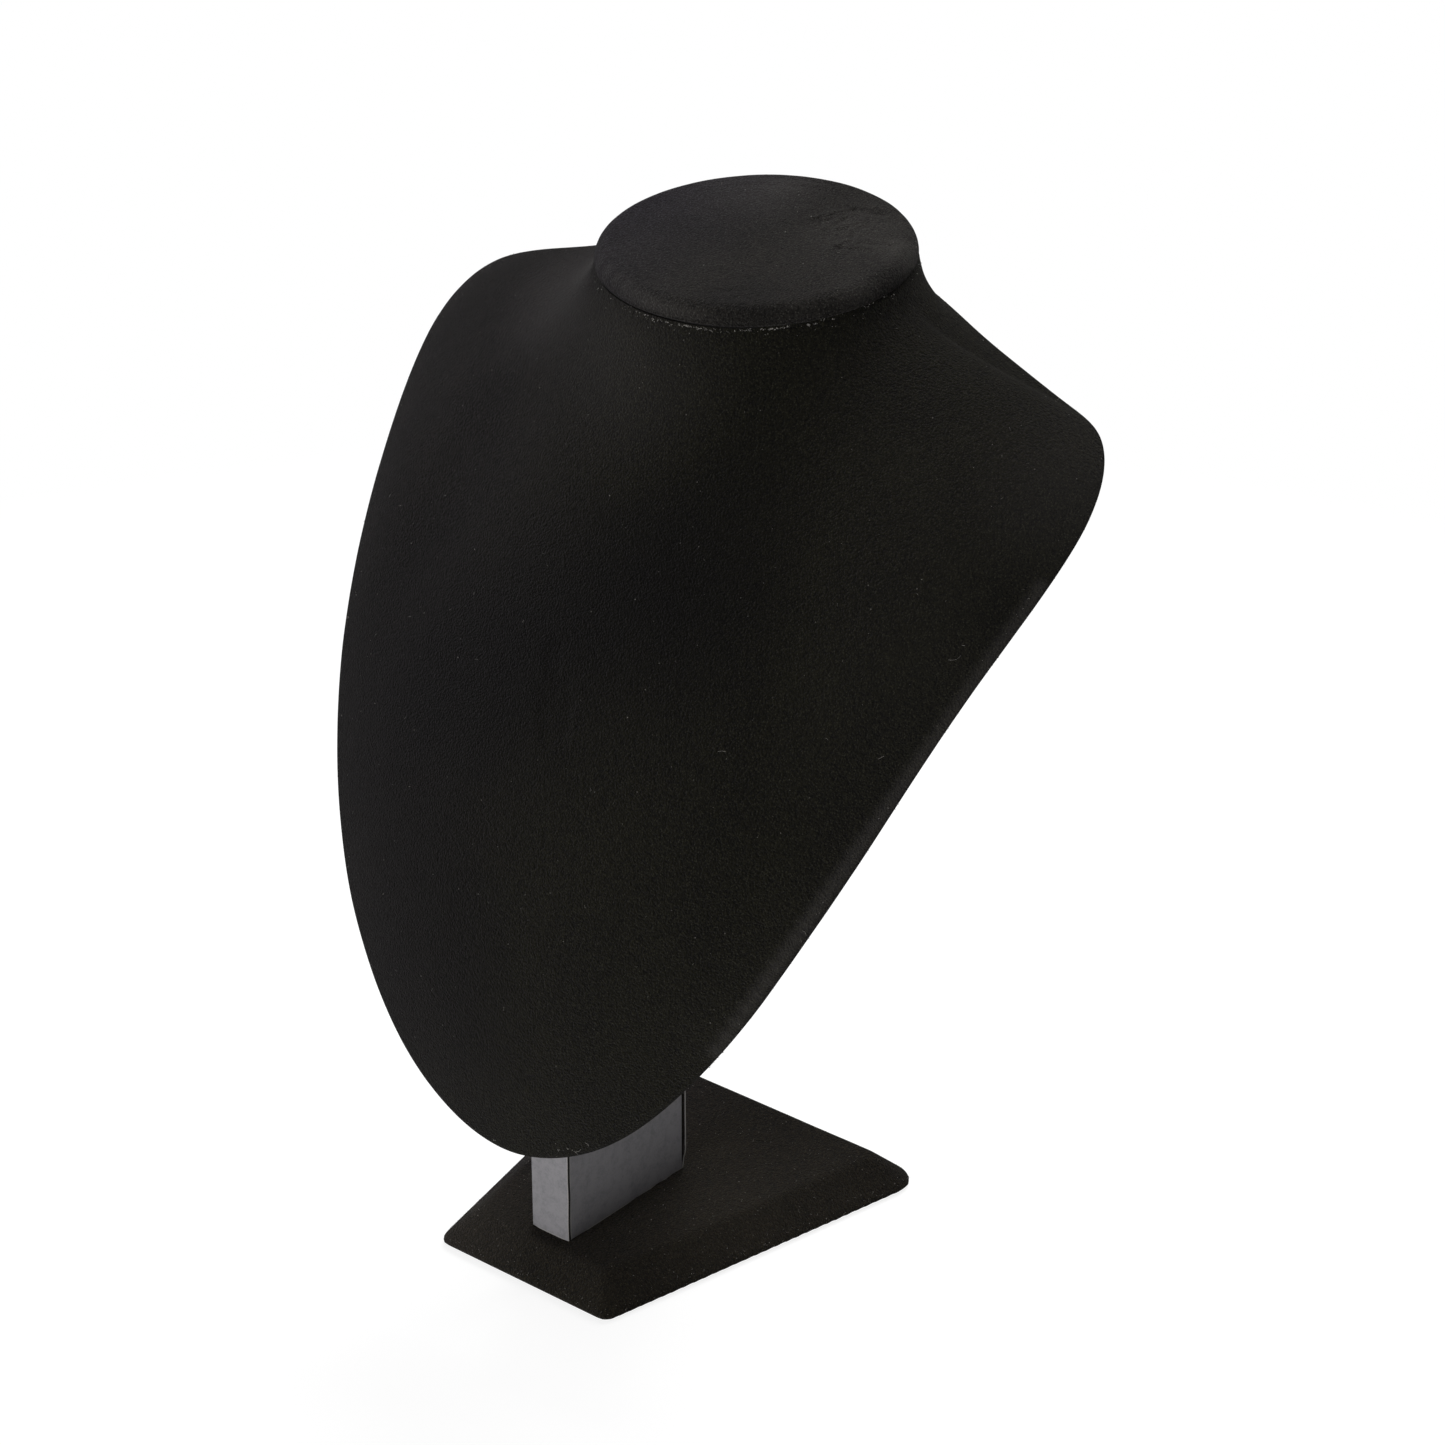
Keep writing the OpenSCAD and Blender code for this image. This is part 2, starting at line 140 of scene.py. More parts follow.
# Painted light and painted shade on the pile, by the photograph's pixels: column, row, reach in
# mm and gain, where a gain above nought paints light and a gain below it paints shade
BUST_PAINTED_LIGHT = (
    (1000, 430, 95.0, 0.4), (1085, 490, 45.0, 2.0), (900, 640, 80.0, 0.5), (720, 1000, 60.0, 0.0),
    (570, 285, 42.0, 3.3), (588, 268, 13.0, 1.8),
    (600, 330, 35.0, 1.0), (640, 380, 45.0, 1.5), (420, 700, 95.0, -0.7),
    (570, 620, 70.0, -0.5), (720, 570, 75.0, -0.6), (430, 970, 70.0, -0.5), (965, 690, 26.0, 0.4),
    (920, 765, 26.0, 0.4), (870, 840, 26.0, 0.4), (820, 915, 26.0, 0.4), (770, 985, 26.0, 0.45),
    (715, 1050, 26.0, 0.45),
)
# The photograph shows a light band along the rim's right side, painted on as a highlight of
# sheen: a row of such places beside its straight edge
RIM_PAINTED_SHEEN = tuple((1062 - 0.7 * (y - 560), y, 5.0, 3.6) for y in range(590, 1060, 14))
# Painted light and painted shade on the cap, given the same way
CAP_PAINTED_LIGHT = (
    (750, 188, 34.0, 1.2), (870, 235, 36.0, 1.2), (740, 300, 28.0, -0.4), (620, 250, 24.0, 0.3),
    (800, 312, 12.0, 0.4), (860, 293, 14.0, 0.9), (785, 186, 12.0, 0.9), (905, 252, 13.0, 1.3),
    (838, 222, 11.0, 0.6),
)
# Painted light and painted shade on the base, given the same way
BASE_PAINTED_LIGHT = (
    (570, 1285, 45.0, 0.5), (760, 1245, 70.0, 0.8), (900, 1190, 50.0, 0.3), (470, 1218, 45.0, 1.8),
)

# Specks and hairs that the photograph shows well enough to place, by its pixels
HAIR_PIXELS = ((961, 655, 4.2), (726, 752, 2.6), (612, 1269, 2.4), (884, 756, 2.0))
RIM_FLUFF_PIXELS = ((574, 1151, 1.8), (581, 1149, 2.4), (589, 1146, 1.6), (806, 934, 1.6))


def to_linear(colour):
    """The linear colour, with alpha, of an sRGB hex value, or of a linear one that a user set."""
    if not isinstance(colour, str):
        return (*colour, 1.0)
    parts = [int(colour[i:i + 2], 16) / 255 for i in (0, 2, 4)]
    linear = [p / 12.92 if p <= 0.04045 else ((p + 0.055) / 1.055) ** 2.4 for p in parts]
    return (*linear, 1.0)


def add_node(tree, kind, inputs, output=0, stops=(), **settings):
    """Adds a shader node with its settings and gives one of its outputs. Inputs hold values, or
    sockets to link from. Stops are the places and colours of a colour ramp."""
    node = tree.nodes.new("ShaderNode" + kind)
    for name, value in settings.items():
        setattr(node, name, value)
    for socket, value in inputs.items():
        if isinstance(value, bpy.types.NodeSocket):
            tree.links.new(value, node.inputs[socket])
        else:
            node.inputs[socket].default_value = value
    if stops:
        marks = node.color_ramp.elements
        marks.remove(marks[1])
        marks[0].position, marks[0].color = stops[0][0], to_linear(stops[0][1])
        for position, colour in stops[1:]:
            marks.new(position).color = to_linear(colour)
    return node.outputs[output] if node.outputs else None


def new_material(name):
    """An empty material, its tree and its object coordinates."""
    material = bpy.data.materials.new(name)
    material.use_nodes = True
    tree = material.node_tree
    tree.nodes.clear()
    return material, tree, add_node(tree, "TexCoord", {}, "Object")


def close_material(tree, colour, relief, surface):
    """Ends a material with its colour, its relief as patterns with their depths in mm, each on top
    of the one before, and the other values of its surface."""
    inputs = {"Base Color": colour, **surface}
    for pattern, depth_mm in relief:
        below = {"Normal": inputs["Normal"]} if "Normal" in inputs else {}
        inputs["Normal"] = add_node(
            tree, "Bump", {"Height": pattern, "Distance": depth_mm * MM, "Strength": 1.0, **below}
        )
    add_node(tree, "OutputMaterial", {"Surface": add_node(tree, "BsdfPrincipled", inputs)})


def scale_of(size_mm):
    """The scale of a pattern whose spots are about size_mm wide."""
    return 1 / (size_mm * MM)


def summed(tree, start, *patterns):
    """A start with patterns added to it, each times its share."""
    for pattern, share in patterns:
        start = add_node(tree, "Math", {0: pattern, 1: share, 2: start}, operation="MULTIPLY_ADD")
    return start


def mottled(name, grain_mm, tones, relief_mm, surface, detail=3.0, stretch=(1.0, 1.0, 1.0)):
    """A material in two tones of one fine pattern, which also gives it its relief. The pattern is
    drawn out along the axes with a small stretch."""
    material, tree, place = new_material(name)
    place = add_node(tree, "Mapping", {"Vector": place, "Scale": stretch})
    grain = add_node(
        tree, "TexNoise", {"Vector": place, "Scale": scale_of(grain_mm), "Detail": detail}
    )
    colour = add_node(tree, "ValToRGB", {"Fac": grain}, stops=tuple(zip((0.3, 0.7), tones)))
    close_material(tree, colour, [(grain, relief_mm)] if relief_mm else [], surface)
    return material


def pile_with_painted_light(tree, place, pile, painted_light_hex, light_marks):
    """The pile's colour with painted light and painted shade: paler and greyer where a mark lifts
    the gain above one, darker where it takes the gain below one. Marks are given as middle, reach
    in mm and gain."""
    gain = 1.0
    for middle, reach, change in light_marks:
        away = add_node(tree, "VectorMath", {0: place, 1: middle}, "Value", operation="DISTANCE")
        weight = add_node(
            tree, "MapRange",
            {"Value": away, "From Max": reach * MM, "To Min": change, "To Max": 0.0},
            interpolation_type="SMOOTHSTEP",
        )
        gain = add_node(tree, "Math", {0: weight, 1: gain}, operation="ADD")
    # Below a gain of one the colour is darkened: painted shade. Above one a pale colour is added:
    # painted light
    darkened = add_node(tree, "Math", {0: gain, 1: 1.0}, operation="MINIMUM")
    raised = add_node(tree, "Math", {0: gain, 1: darkened}, operation="SUBTRACT")
    ends = to_linear(painted_light_hex)[:3]
    pile = add_node(tree, "VectorMath", {0: pile, "Scale": darkened}, operation="SCALE")
    ends = add_node(tree, "VectorMath", {0: ends, "Scale": raised}, operation="SCALE")
    return add_node(tree, "VectorMath", {0: pile, 1: ends}, operation="ADD")


def flock_velvet(name, tones, sheen, relief_mm, dusty_share, light_marks):
    """Nylon flock on a cotton ground. The pile swallows light that meets it head on, glows softly
    at a glancing angle, and shows a fine grain and pale specks of dust; marks of painted light and
    painted shade lie over it. Tones are its deep pile, its upper pile, single tufts that stand up,
    and the pale colour that the painted light adds."""
    deep, upper, tuft_end, painted_light_hex = tones
    material, tree, place = new_material(name)
    # The pile's tufts are 0.1 mm apart, drawn seven times as coarse as that so that they show
    grain, tuft = (
        add_node(tree, "TexNoise", {"Vector": place, "Scale": scale_of(size), "Roughness": 0.6})
        for size in (0.7, 1.5)
    )
    upright = add_node(tree, "Mapping", {"Vector": place, "Scale": (1.0, 1.0, 0.6)})
    strokes = add_node(
        tree, "TexNoise", {"Vector": upright, "Scale": scale_of(26.0), "Detail": 3.0}
    )
    pile = add_node(
        tree, "ValToRGB", {"Fac": summed(tree, 0.08, (strokes, 0.14), (grain, 0.5), (tuft, 0.2))},
        stops=((0.42, deep), (0.58, upper)),
    )
    # Tufts that stand up catch the light: specks about 0.3 mm across
    stubble = add_node(tree, "TexVoronoi", {"Vector": place, "Scale": scale_of(0.85)})
    tip = add_node(
        tree, "MapRange",
        {"Value": stubble, "From Min": 0.16, "From Max": 0.36, "To Min": 0.55, "To Max": 0.0},
    )
    pile = add_node(tree, "MixRGB", {"Fac": tip, "Color1": pile, "Color2": to_linear(tuft_end)})
    # The photograph shows the velvet cooler on the stand's left and olive from its middle on. The
    # cause isn't known: it may be the dye, the light or the picture's compression
    across = add_node(tree, "SeparateXYZ", {0: place}, "X")
    cooler = add_node(
        tree, "MapRange",
        {"Value": across, "From Min": -70 * MM, "From Max": 5 * MM, "To Min": 1.0, "To Max": 0.0},
    )
    pile = add_node(
        tree, "MixRGB", {"Fac": cooler, "Color1": pile, "Color2": (1.0, 0.94, 1.6, 1.0)},
        blend_type="MULTIPLY",
    )
    # Painted light and painted shade from the marks
    pile = pile_with_painted_light(tree, place, pile, painted_light_hex, light_marks)
    # Dust: specks about 0.4 mm across, one in every few cells of 3.2 mm
    cells = add_node(tree, "TexVoronoi", {"Vector": place, "Scale": scale_of(3.2)})
    near = add_node(tree, "Math", {0: cells, 1: 0.07}, operation="LESS_THAN")
    cell_colour = cells.node.outputs["Color"]
    chosen = add_node(tree, "Math", {0: cell_colour, 1: dusty_share}, operation="LESS_THAN")
    speck = add_node(tree, "Math", {0: near, 1: chosen}, operation="MULTIPLY")
    colour = add_node(tree, "MixRGB", {"Fac": speck, "Color1": pile, "Color2": to_linear("5d5a55")})
    close_material(
        tree, colour, ((grain, relief_mm), (tuft, 0.2)),
        {"Roughness": 0.95, "Specular IOR Level": 0.04, "Sheen Weight": sheen,
         "Sheen Roughness": 0.6, "Sheen Tint": to_linear("f4eff4")},
    )
    return material


def covering_paper(face_colour):
    """Grey coated covering paper, calendered: satin, faintly clouded, with a fine tooth."""
    material, tree, place = new_material("grey covering paper")
    upright = add_node(tree, "Mapping", {"Vector": place, "Scale": (1.0, 1.0, 0.12)})
    streaks = add_node(tree, "TexNoise", {"Vector": upright, "Scale": scale_of(2.4), "Detail": 3.0})
    clouds = add_node(
        tree, "TexNoise",
        {"Vector": place, "Scale": scale_of(3.5), "Detail": 4.0, "Roughness": 0.65},
    )
    tooth = add_node(
        tree, "TexNoise", {"Vector": place, "Scale": scale_of(0.7), "Detail": 3.0, "Roughness": 0.6}
    )
    colour = add_node(
        tree, "ValToRGB", {"Fac": summed(tree, clouds, (streaks, 0.25), (tooth, 0.6))},
        stops=((0.7, "7a797c"), (1.0, face_colour)),
    )
    close_material(
        tree, colour, ((clouds, 0.03), (tooth, 0.04)),
        {"Roughness": 0.55, "Specular IOR Level": 0.35},
    )
    return material


def paper_back_and_shade():
    """The uncoated back of the covering paper with glue on it, dark grey and matt. Its dark colour
    also paints the shade in the score, in the fold beside it and behind the loose edge.
    """
    surface = {"Roughness": 0.9, "Specular IOR Level": 0.2}
    return mottled("covering paper back and painted shade", 0.5, ("2b2a28", "3b3937"), 0.05, surface)


def paper_core():
    """The uncoated core of the paper, at its cut edges and in the score: paler and fibrous."""
    return mottled("paper core", 0.3, ("8d8b8a", "b3b0ac"), 0.05, {"Roughness": 0.9})


def fibreboard():
    """Medium density fibreboard, sawn and sanded: buff, with short darker fibres."""
    material, tree, place = new_material("sanded fibreboard")
    upright = add_node(tree, "Mapping", {"Vector": place, "Scale": (1.0, 1.0, 0.5)})
    fibre = add_node(
        tree, "TexNoise",
        {"Vector": upright, "Scale": scale_of(0.7), "Detail": 4.0, "Roughness": 0.7},
    )
    clouds = add_node(tree, "TexNoise", {"Vector": place, "Scale": scale_of(12.0)})
    colour = add_node(
        tree, "ValToRGB", {"Fac": summed(tree, fibre, (clouds, 0.4))},
        stops=((0.4, "84664a"), (0.7, "a98560"), (0.95, "b89570")),
    )
    close_material(tree, colour, [(fibre, 0.06)], {"Roughness": 0.85, "Specular IOR Level": 0.25})
    return material


def planed_softwood():
    """Planed pine: pale, with growth rings 2 mm apart that run up the block."""
    material, tree, place = new_material("planed softwood")
    upright = add_node(tree, "Mapping", {"Vector": place, "Scale": (1.0, 1.0, 0.12)})
    # A wave texture has a ring every 0.31 m at scale 1
    rings = add_node(
        tree, "TexWave",
        {"Vector": upright, "Scale": 0.16 / MM, "Distortion": 3.0, "Detail": 2.0,
         "Detail Scale": 1.2},
        "Fac", wave_type="BANDS", bands_direction="X",
    )
    drawn_out = add_node(tree, "Mapping", {"Vector": place, "Scale": (1.0, 1.0, 0.06)})
    fibre = add_node(tree, "TexNoise", {"Vector": drawn_out, "Scale": scale_of(0.4), "Detail": 3.0})
    colour = add_node(
        tree, "ValToRGB", {"Fac": summed(tree, rings, (fibre, 0.35))},
        stops=((0.15, "d9b883"), (0.8, "c99f66"), (1.0, "a97a45")),
    )
    close_material(tree, colour, [(fibre, 0.04)], {"Roughness": 0.6})
    return material


def moulded_resin():
    """Dark filled resin, cast in a mould: matt, a little uneven, pitted, with a fine tooth."""
    material, tree, place = new_material("moulded resin")
    clouds = add_node(tree, "TexNoise", {"Vector": place, "Scale": scale_of(22.0), "Detail": 4.0})
    tooth = add_node(
        tree, "TexNoise",
        {"Vector": place, "Scale": scale_of(0.8), "Detail": 4.0, "Roughness": 0.65},
    )
    lumps = add_node(tree, "TexNoise", {"Vector": place, "Scale": scale_of(7.0)})
    # Pits 4.5 mm apart
    pits = add_node(tree, "TexVoronoi", {"Vector": place, "Scale": 0.22 / MM})
    pit = add_node(tree, "ValToRGB", {"Fac": pits}, stops=((0.04, "000000"), (0.12, "ffffff")))
    colour = add_node(tree, "ValToRGB", {"Fac": clouds}, stops=((0.3, "262524"), (0.7, "3d3b3a")))
    close_material(
        tree, colour, ((pit, 0.15), (tooth, 0.08), (lumps, 0.5)),
        {"Roughness": 0.62, "Specular IOR Level": 0.4},
    )
    return material


def black_paper():
    """Dyed kraft paper, glued under the base: matt and fibrous, its fibres along the stand."""
    return mottled(
        "black kraft paper", 0.6, ("222120", "302f2d"), 0.05, {"Roughness": 0.85}, detail=4.0,
        stretch=(1.0, 0.4, 1.0),
    )


def zinc_plate():
    """Zinc-plated steel: bright, with the slight mottling of the bath."""
    surface = {"Metallic": 1.0, "Roughness": 0.35}
    return mottled("zinc plated steel", 1.5, ("a9a9a4", "cbcbc6"), 0.01, surface, detail=2.0)


def cotton_lint(colour_hex):
    """Loose cotton and paper dust caught in the pile: pale, matt, with the glow of fine fibres."""
    surface = {"Roughness": 0.9, "Sheen Weight": 0.3}
    return mottled("cotton lint", 6.0, ("6f6c69", colour_hex), 0.0, surface, detail=1.0)


def copy_of_node(name):
    """A bmesh of a CAD node, with its loose triangles joined at their corners."""
    bm = bmesh.new()
    bm.from_mesh(frame["nodes"][name].data)
    bmesh.ops.remove_doubles(bm, verts=bm.verts, dist=WELD)
    bm.normal_update()
    return bm


def mesh_from(name, bm):
    """A mesh of a bmesh, which is freed."""
    mesh = bpy.data.meshes.new(name)
    bm.to_mesh(mesh)
    bm.free()
    return mesh


def add_object(name, data):
    """An object in the scene that shows some data."""
    obj = bpy.data.objects.new(name, data)
    bpy.context.scene.collection.objects.link(obj)
    return obj


def make_quads(bm):
    """Pairs the triangles of a lofted form back into its four-sided panels."""
    bmesh.ops.join_triangles(
        bm, faces=bm.faces, angle_face_threshold=math.pi, angle_shape_threshold=math.pi
    )


def with_modifiers(bm, modifiers):
    """The form after modifiers, each given as its kind and settings, as a new bmesh."""
    mesh = mesh_from("work", bm)
    obj = add_object("work", mesh)
    for kind, settings in modifiers:
        modifier = obj.modifiers.new(kind.lower(), kind)
        for name, value in settings.items():
            setattr(modifier, name, value)
    result = bmesh.new()
    result.from_object(obj, bpy.context.evaluated_depsgraph_get())
    bpy.data.objects.remove(obj)
    bpy.data.meshes.remove(mesh)
    result.normal_update()
    return result


def rounded(bm, levels):
    """The form rounded by subdivision."""
    return with_modifiers(bm, [("SUBSURF", {"levels": levels, "render_levels": levels})])


def in_fixed_order(bm):
    """The form with its vertices and faces in the order of their places. Operators such as spin
    leave them in an order that changes from run to run, and the lint is drawn by it."""
    result = bmesh.new()
    made = {v: result.verts.new(v.co) for v in sorted(bm.verts, key=lambda v: tuple(v.co))}
    result.verts.index_update()
    rings = [[made[v] for v in face.verts] for face in bm.faces]
    for ring in sorted(rings, key=lambda ring: sorted(v.index for v in ring)):
        result.faces.new(ring)
    bm.free()
    return result


def connected_faces(start, limit):
    """The faces reached from one face over edges that bend by less than limit."""
    found = {start}
    waiting = [start]
    while waiting:
        face = waiting.pop()
        for edge in face.edges:
            if len(edge.link_faces) != 2 or edge.calc_face_angle(0.0) > limit:
                continue
            for other in edge.link_faces:
                if other not in found:
                    found.add(other)
                    waiting.append(other)
    return found


def push_out(bm, height_at):
    """Moves each vertex along its normal by height_at(vertex), in millimetres."""
    bm.normal_update()
    moves = [(v, v.normal * (height_at(v) * MM)) for v in bm.verts]
    for v, move in moves:
        v.co += move
    bm.normal_update()


def wander(point, size_mm, seed=0.0):
    """Smooth noise from -1 to 1 at a point, with waves about size_mm long."""
    return noise.noise(point / (size_mm * MM) + Vector((seed, 0.0, -seed)))


def bell(distance, width):
    """A smooth bump that is 1 at no distance and fades over the width."""
    return math.exp(-((distance / width) ** 2))


def add_piece(name, bm, materials, nodes=(), fold_degrees=None):
    """Makes the finished piece, smooth shaded up to the angle of a fold, riding on the stand and
    standing for CAD nodes."""
    mesh = mesh_from(name, bm)
    for polygon in mesh.polygons:
        polygon.use_smooth = True
    if fold_degrees:
        mesh.set_sharp_from_angle(angle=math.radians(fold_degrees))
    for material in materials:
        mesh.materials.append(material)
    obj = add_object(name, mesh)
    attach(obj, BODY)
    if nodes:
        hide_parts(*nodes)
    return obj


class PhotoCamera:
    """The place and axes of the photograph's camera, in metres."""

    def __init__(self):
        azimuth, elevation = math.radians(CAMERA_AZIMUTH), math.radians(CAMERA_ELEVATION)
        self.back = Vector((
            math.sin(azimuth) * math.cos(elevation),
            -math.cos(azimuth) * math.cos(elevation),
            math.sin(elevation),
        ))
        self.right = Vector((math.cos(azimuth), math.sin(azimuth), 0.0))
        self.up = self.back.cross(self.right)
        self.place = Vector(CAMERA_TARGET) * MM + self.back * CAMERA_DISTANCE * MM

    def ray(self, x, y):
        """The way from the camera through a pixel of the photograph."""
        across = (x - PHOTO_SIDE / 2) / PHOTO_FOCUS_PX
        upward = (PHOTO_SIDE / 2 - y) / PHOTO_FOCUS_PX
        return (self.right * across + self.up * upward - self.back).normalized()

    def hit(self, tree, x, y):
        """Where that way first meets a surface, and the surface's normal there."""
        place, normal, _, _ = tree.ray_cast(self.place, self.ray(x, y))
        return place, normal

    def matrix(self):
        """The camera object's place and turn."""
        turn = Matrix((self.right, self.up, self.back)).transposed().to_4x4()
        return Matrix.Translation(self.place) @ turn


PHOTO = PhotoCamera()


class CapPlane:
    """The plane of the cap's top: its middle, its way to the right, to the back and square out."""

    def __init__(self):
        points = [v.co for v in frame["nodes"]["cap_velvet"].data.vertices]
        low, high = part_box("cap_velvet")
        back = max(points, key=lambda p: p.y)
        front = min(points, key=lambda p: p.y)
        self.right = Vector((1.0, 0.0, 0.0))
        self.back = (Vector((0.0, back.y, back.z)) - Vector((0.0, front.y, front.z))).normalized()
        self.out = self.right.cross(self.back)
        along = [p.dot(self.back) for p in points]
        heights = [p.dot(self.out) for p in points]
        self.half_w = (high[0] - low[0]) / 2
        self.half_d = (max(along) - min(along)) / 2
        self.top = max(heights)
        self.underside = min(heights)
        middle = (max(along) + min(along)) / 2
        self.origin = self.back * middle + self.out * self.top

    def matrix(self):
        """Turns and moves a form drawn about the world's origin to the cap's top."""
        turn = Matrix((self.right, self.back, self.out)).transposed().to_4x4()
        return Matrix.Translation(self.origin) @ turn

    def flat(self, point):
        """A point's place in the plane, in millimetres from its middle: right, back and up."""
        p = point - self.origin
        return p.dot(self.right) / MM, p.dot(self.back) / MM, p.dot(self.out) / MM


CAP = CapPlane()


def distance_to_segment(u, v, start, end):
    """How far a point of the plane is from a segment."""
    du, dv = end[0] - start[0], end[1] - start[1]
    share = ((u - start[0]) * du + (v - start[1]) * dv) / (du * du + dv * dv)
    held = min(1.0, max(0.0, share))
    return math.hypot(u - start[0] - held * du, v - start[1] - held * dv)


def crease_height(u, v):
    """The height of the cap's creases at a place in its plane: a furrow with a soft bank."""
    height = 0.0
    for start, end, depth, width in CAP_CREASES:
        wobble = 0.5 * noise.noise(Vector((u / 3.0, v / 3.0, depth * 40)))
        distance = distance_to_segment(u + wobble, v - wobble, start, end)
        bank = 0.55 * bell(distance - 1.9 * width, 1.2 * width)
        height += depth * (bank - bell(distance, width))
    return height


def size_in_mm(name, description, default):
    """A size that a user may change, in millimetres."""
    return FloatProperty(name=name, description=description + ", in mm", default=default, min=0.0)


def lamp_power(name, description, default):
    """A lamp's power that a user may change, in watts."""
    return FloatProperty(
        name=name, description="Power of " + description, default=default, min=0.0, unit="POWER"
    )


class VelvetSettings(bpy.types.PropertyGroup):
    """What the velvet is like."""

    unevenness: size_in_mm("Unevenness", "How far the glued velvet wanders", 0.07)
    pleat_depth: size_in_mm("Pleat depth", "Depth of the pleats in the turned hem", 0.75)
    pucker: size_in_mm("Pucker", "Depth of the gathers under the cap", 0.28)
    loft: size_in_mm("Loft", "How far the pile stands out past the cloth", 0.35)
    pinch: size_in_mm("Pinch", "How far the velvet is drawn in right under the cap", 0.3)


class WrapSettings(bpy.types.PropertyGroup):
    """What the folded paper round the post is like."""

    colour: FloatVectorProperty(
        name="Colour", description="Colour of the coated face", subtype="COLOR", size=3,
        default=to_linear("8b898c")[:3], min=0.0, max=1.0,
    )
    score_width: size_in_mm("Score", "Width of the open score line", 0.5)
    curl_height: size_in_mm("Curl", "Height over which the loose edge curls in", 11.0)


class LintSettings(bpy.types.PropertyGroup):
    """How much lint lies in the pile."""

    seed: IntProperty(name="Seed", description="Start of the random draws", default=7)
    on_bust: IntProperty(name="On the bust", description="Bits on the bust", default=260, min=0)
    on_base: IntProperty(name="On the base", description="Bits on the base", default=420, min=0)
    on_cap: IntProperty(name="On the cap", description="Bits on the cap", default=34, min=0)


class StageSettings(bpy.types.PropertyGroup):
    """Floor and light."""

    front_watts: lamp_power("Front", "the low lamp in front", 32.0)
    back_watts: lamp_power("Back", "the high lamp behind", 35.0)
    left_watts: lamp_power("Left", "the lamp behind on the left", 12.0)
    top_watts: lamp_power("Top", "the lamp overhead", 7.0)
    sky: FloatProperty(name="Sky", description="Light from all round", default=0.03, min=0.0)


def settings():
    """All settings of the scene."""
    return bpy.context.scene.necklace_stand


class StandSettings(bpy.types.PropertyGroup):
    """All settings of the stand."""

    velvet: PointerProperty(type=VelvetSettings)
    wrap: PointerProperty(type=WrapSettings)
    lint: PointerProperty(type=LintSettings)
    stage: PointerProperty(type=StageSettings)


def seam_row(x):
    """The pixel row of the seam under the cap at a pixel column."""
    for k in range(1, len(SEAM_COLUMNS)):
        if x <= SEAM_COLUMNS[k]:
            share = (x - SEAM_COLUMNS[k - 1]) / (SEAM_COLUMNS[k] - SEAM_COLUMNS[k - 1])
            return SEAM_ROWS[k - 1] + (SEAM_ROWS[k] - SEAM_ROWS[k - 1]) * share
    return SEAM_ROWS[-1]


def places_seen(tree, marks):
    """Marks of painted light and painted shade on a surface, from pixel column and row, reach in mm
    and gain.
    """
    for x, y, reach, gain in marks:
        place, _ = PHOTO.hit(tree, x, y)
        if place is not None:
            yield place, reach, gain


def near_any(points, reach):
    """A test of whether a place is within reach of one of the points."""
    tree = kdtree.KDTree(len(points))
    for index, point in enumerate(points):
        tree.insert(point, index)
    tree.balance()
    return lambda place: tree.find(place)[2] < reach


def velvet_and_form():
    """The bust's velvet without the side that is glued down, and the form that it is glued to: what
    can be reached from the chest over bends of less than 48 degrees."""
    touching = near_any([v.co for v in frame["nodes"]["bust_shell"].data.vertices], 0.02 * MM)
    cloth = copy_of_node(CHEST_NODE)
    glued = [f for f in cloth.faces if all(touching(v.co) for v in f.verts)]
    chest = min(glued, key=lambda f: f.calc_center_median().y + abs(f.calc_center_median().x))
    reached = connected_faces(chest, math.radians(48))
    form = bmesh.new()
    made = {}
    for face in glued:
        if face not in reached:
            continue
        corners = []
        for v in reversed(face.verts[:]):
            if v not in made:
                made[v] = form.verts.new(v.co)
            corners.append(made[v])
        form.faces.new(corners)
    form.normal_update()
    bmesh.ops.delete(cloth, geom=glued, context="FACES")
    return cloth, form


class STAND_OT_bust_moulding(bpy.types.Operator):
    """Casts the wall of the bust: smooth, open behind, closed at the top of the neck"""

    bl_idname = "stand.bust_moulding"
    bl_label = "Bust moulding"

    wall: size_in_mm("Wall", "Thickness of the wall", 3.0)

    def execute(self, context):
        cloth, form = velvet_and_form()
        cloth.free()
        make_quads(form)
        # The neck's open end is the ring of free edges that lies level just under the cap
        neck_top = []
        for edge in form.edges:
            heights = [CAP.flat(v.co)[2] for v in edge.verts]
            if edge.is_boundary and min(heights) > -12.0 and max(heights) - min(heights) < 0.2:
                neck_top.append(edge)
        bmesh.ops.holes_fill(form, edges=neck_top, sides=0)
        lid = [f for f in form.faces if len(f.verts) > 8]
        bmesh.ops.inset_region(form, faces=lid, thickness=5 * MM)
        wall = with_modifiers(rounded(form, 2), [
            ("SOLIDIFY", {"thickness": self.wall * MM, "offset": -1.0, "use_even_offset": True}),
        ])
        push_out(wall, lambda v: 0.12 * wander(v.co, 16.0, 3.0) if v.normal.y > 0 else 0.0)
        add_piece("bust_moulding", wall, [moulded_resin()], ["bust_shell"])
        return {"FINISHED"}


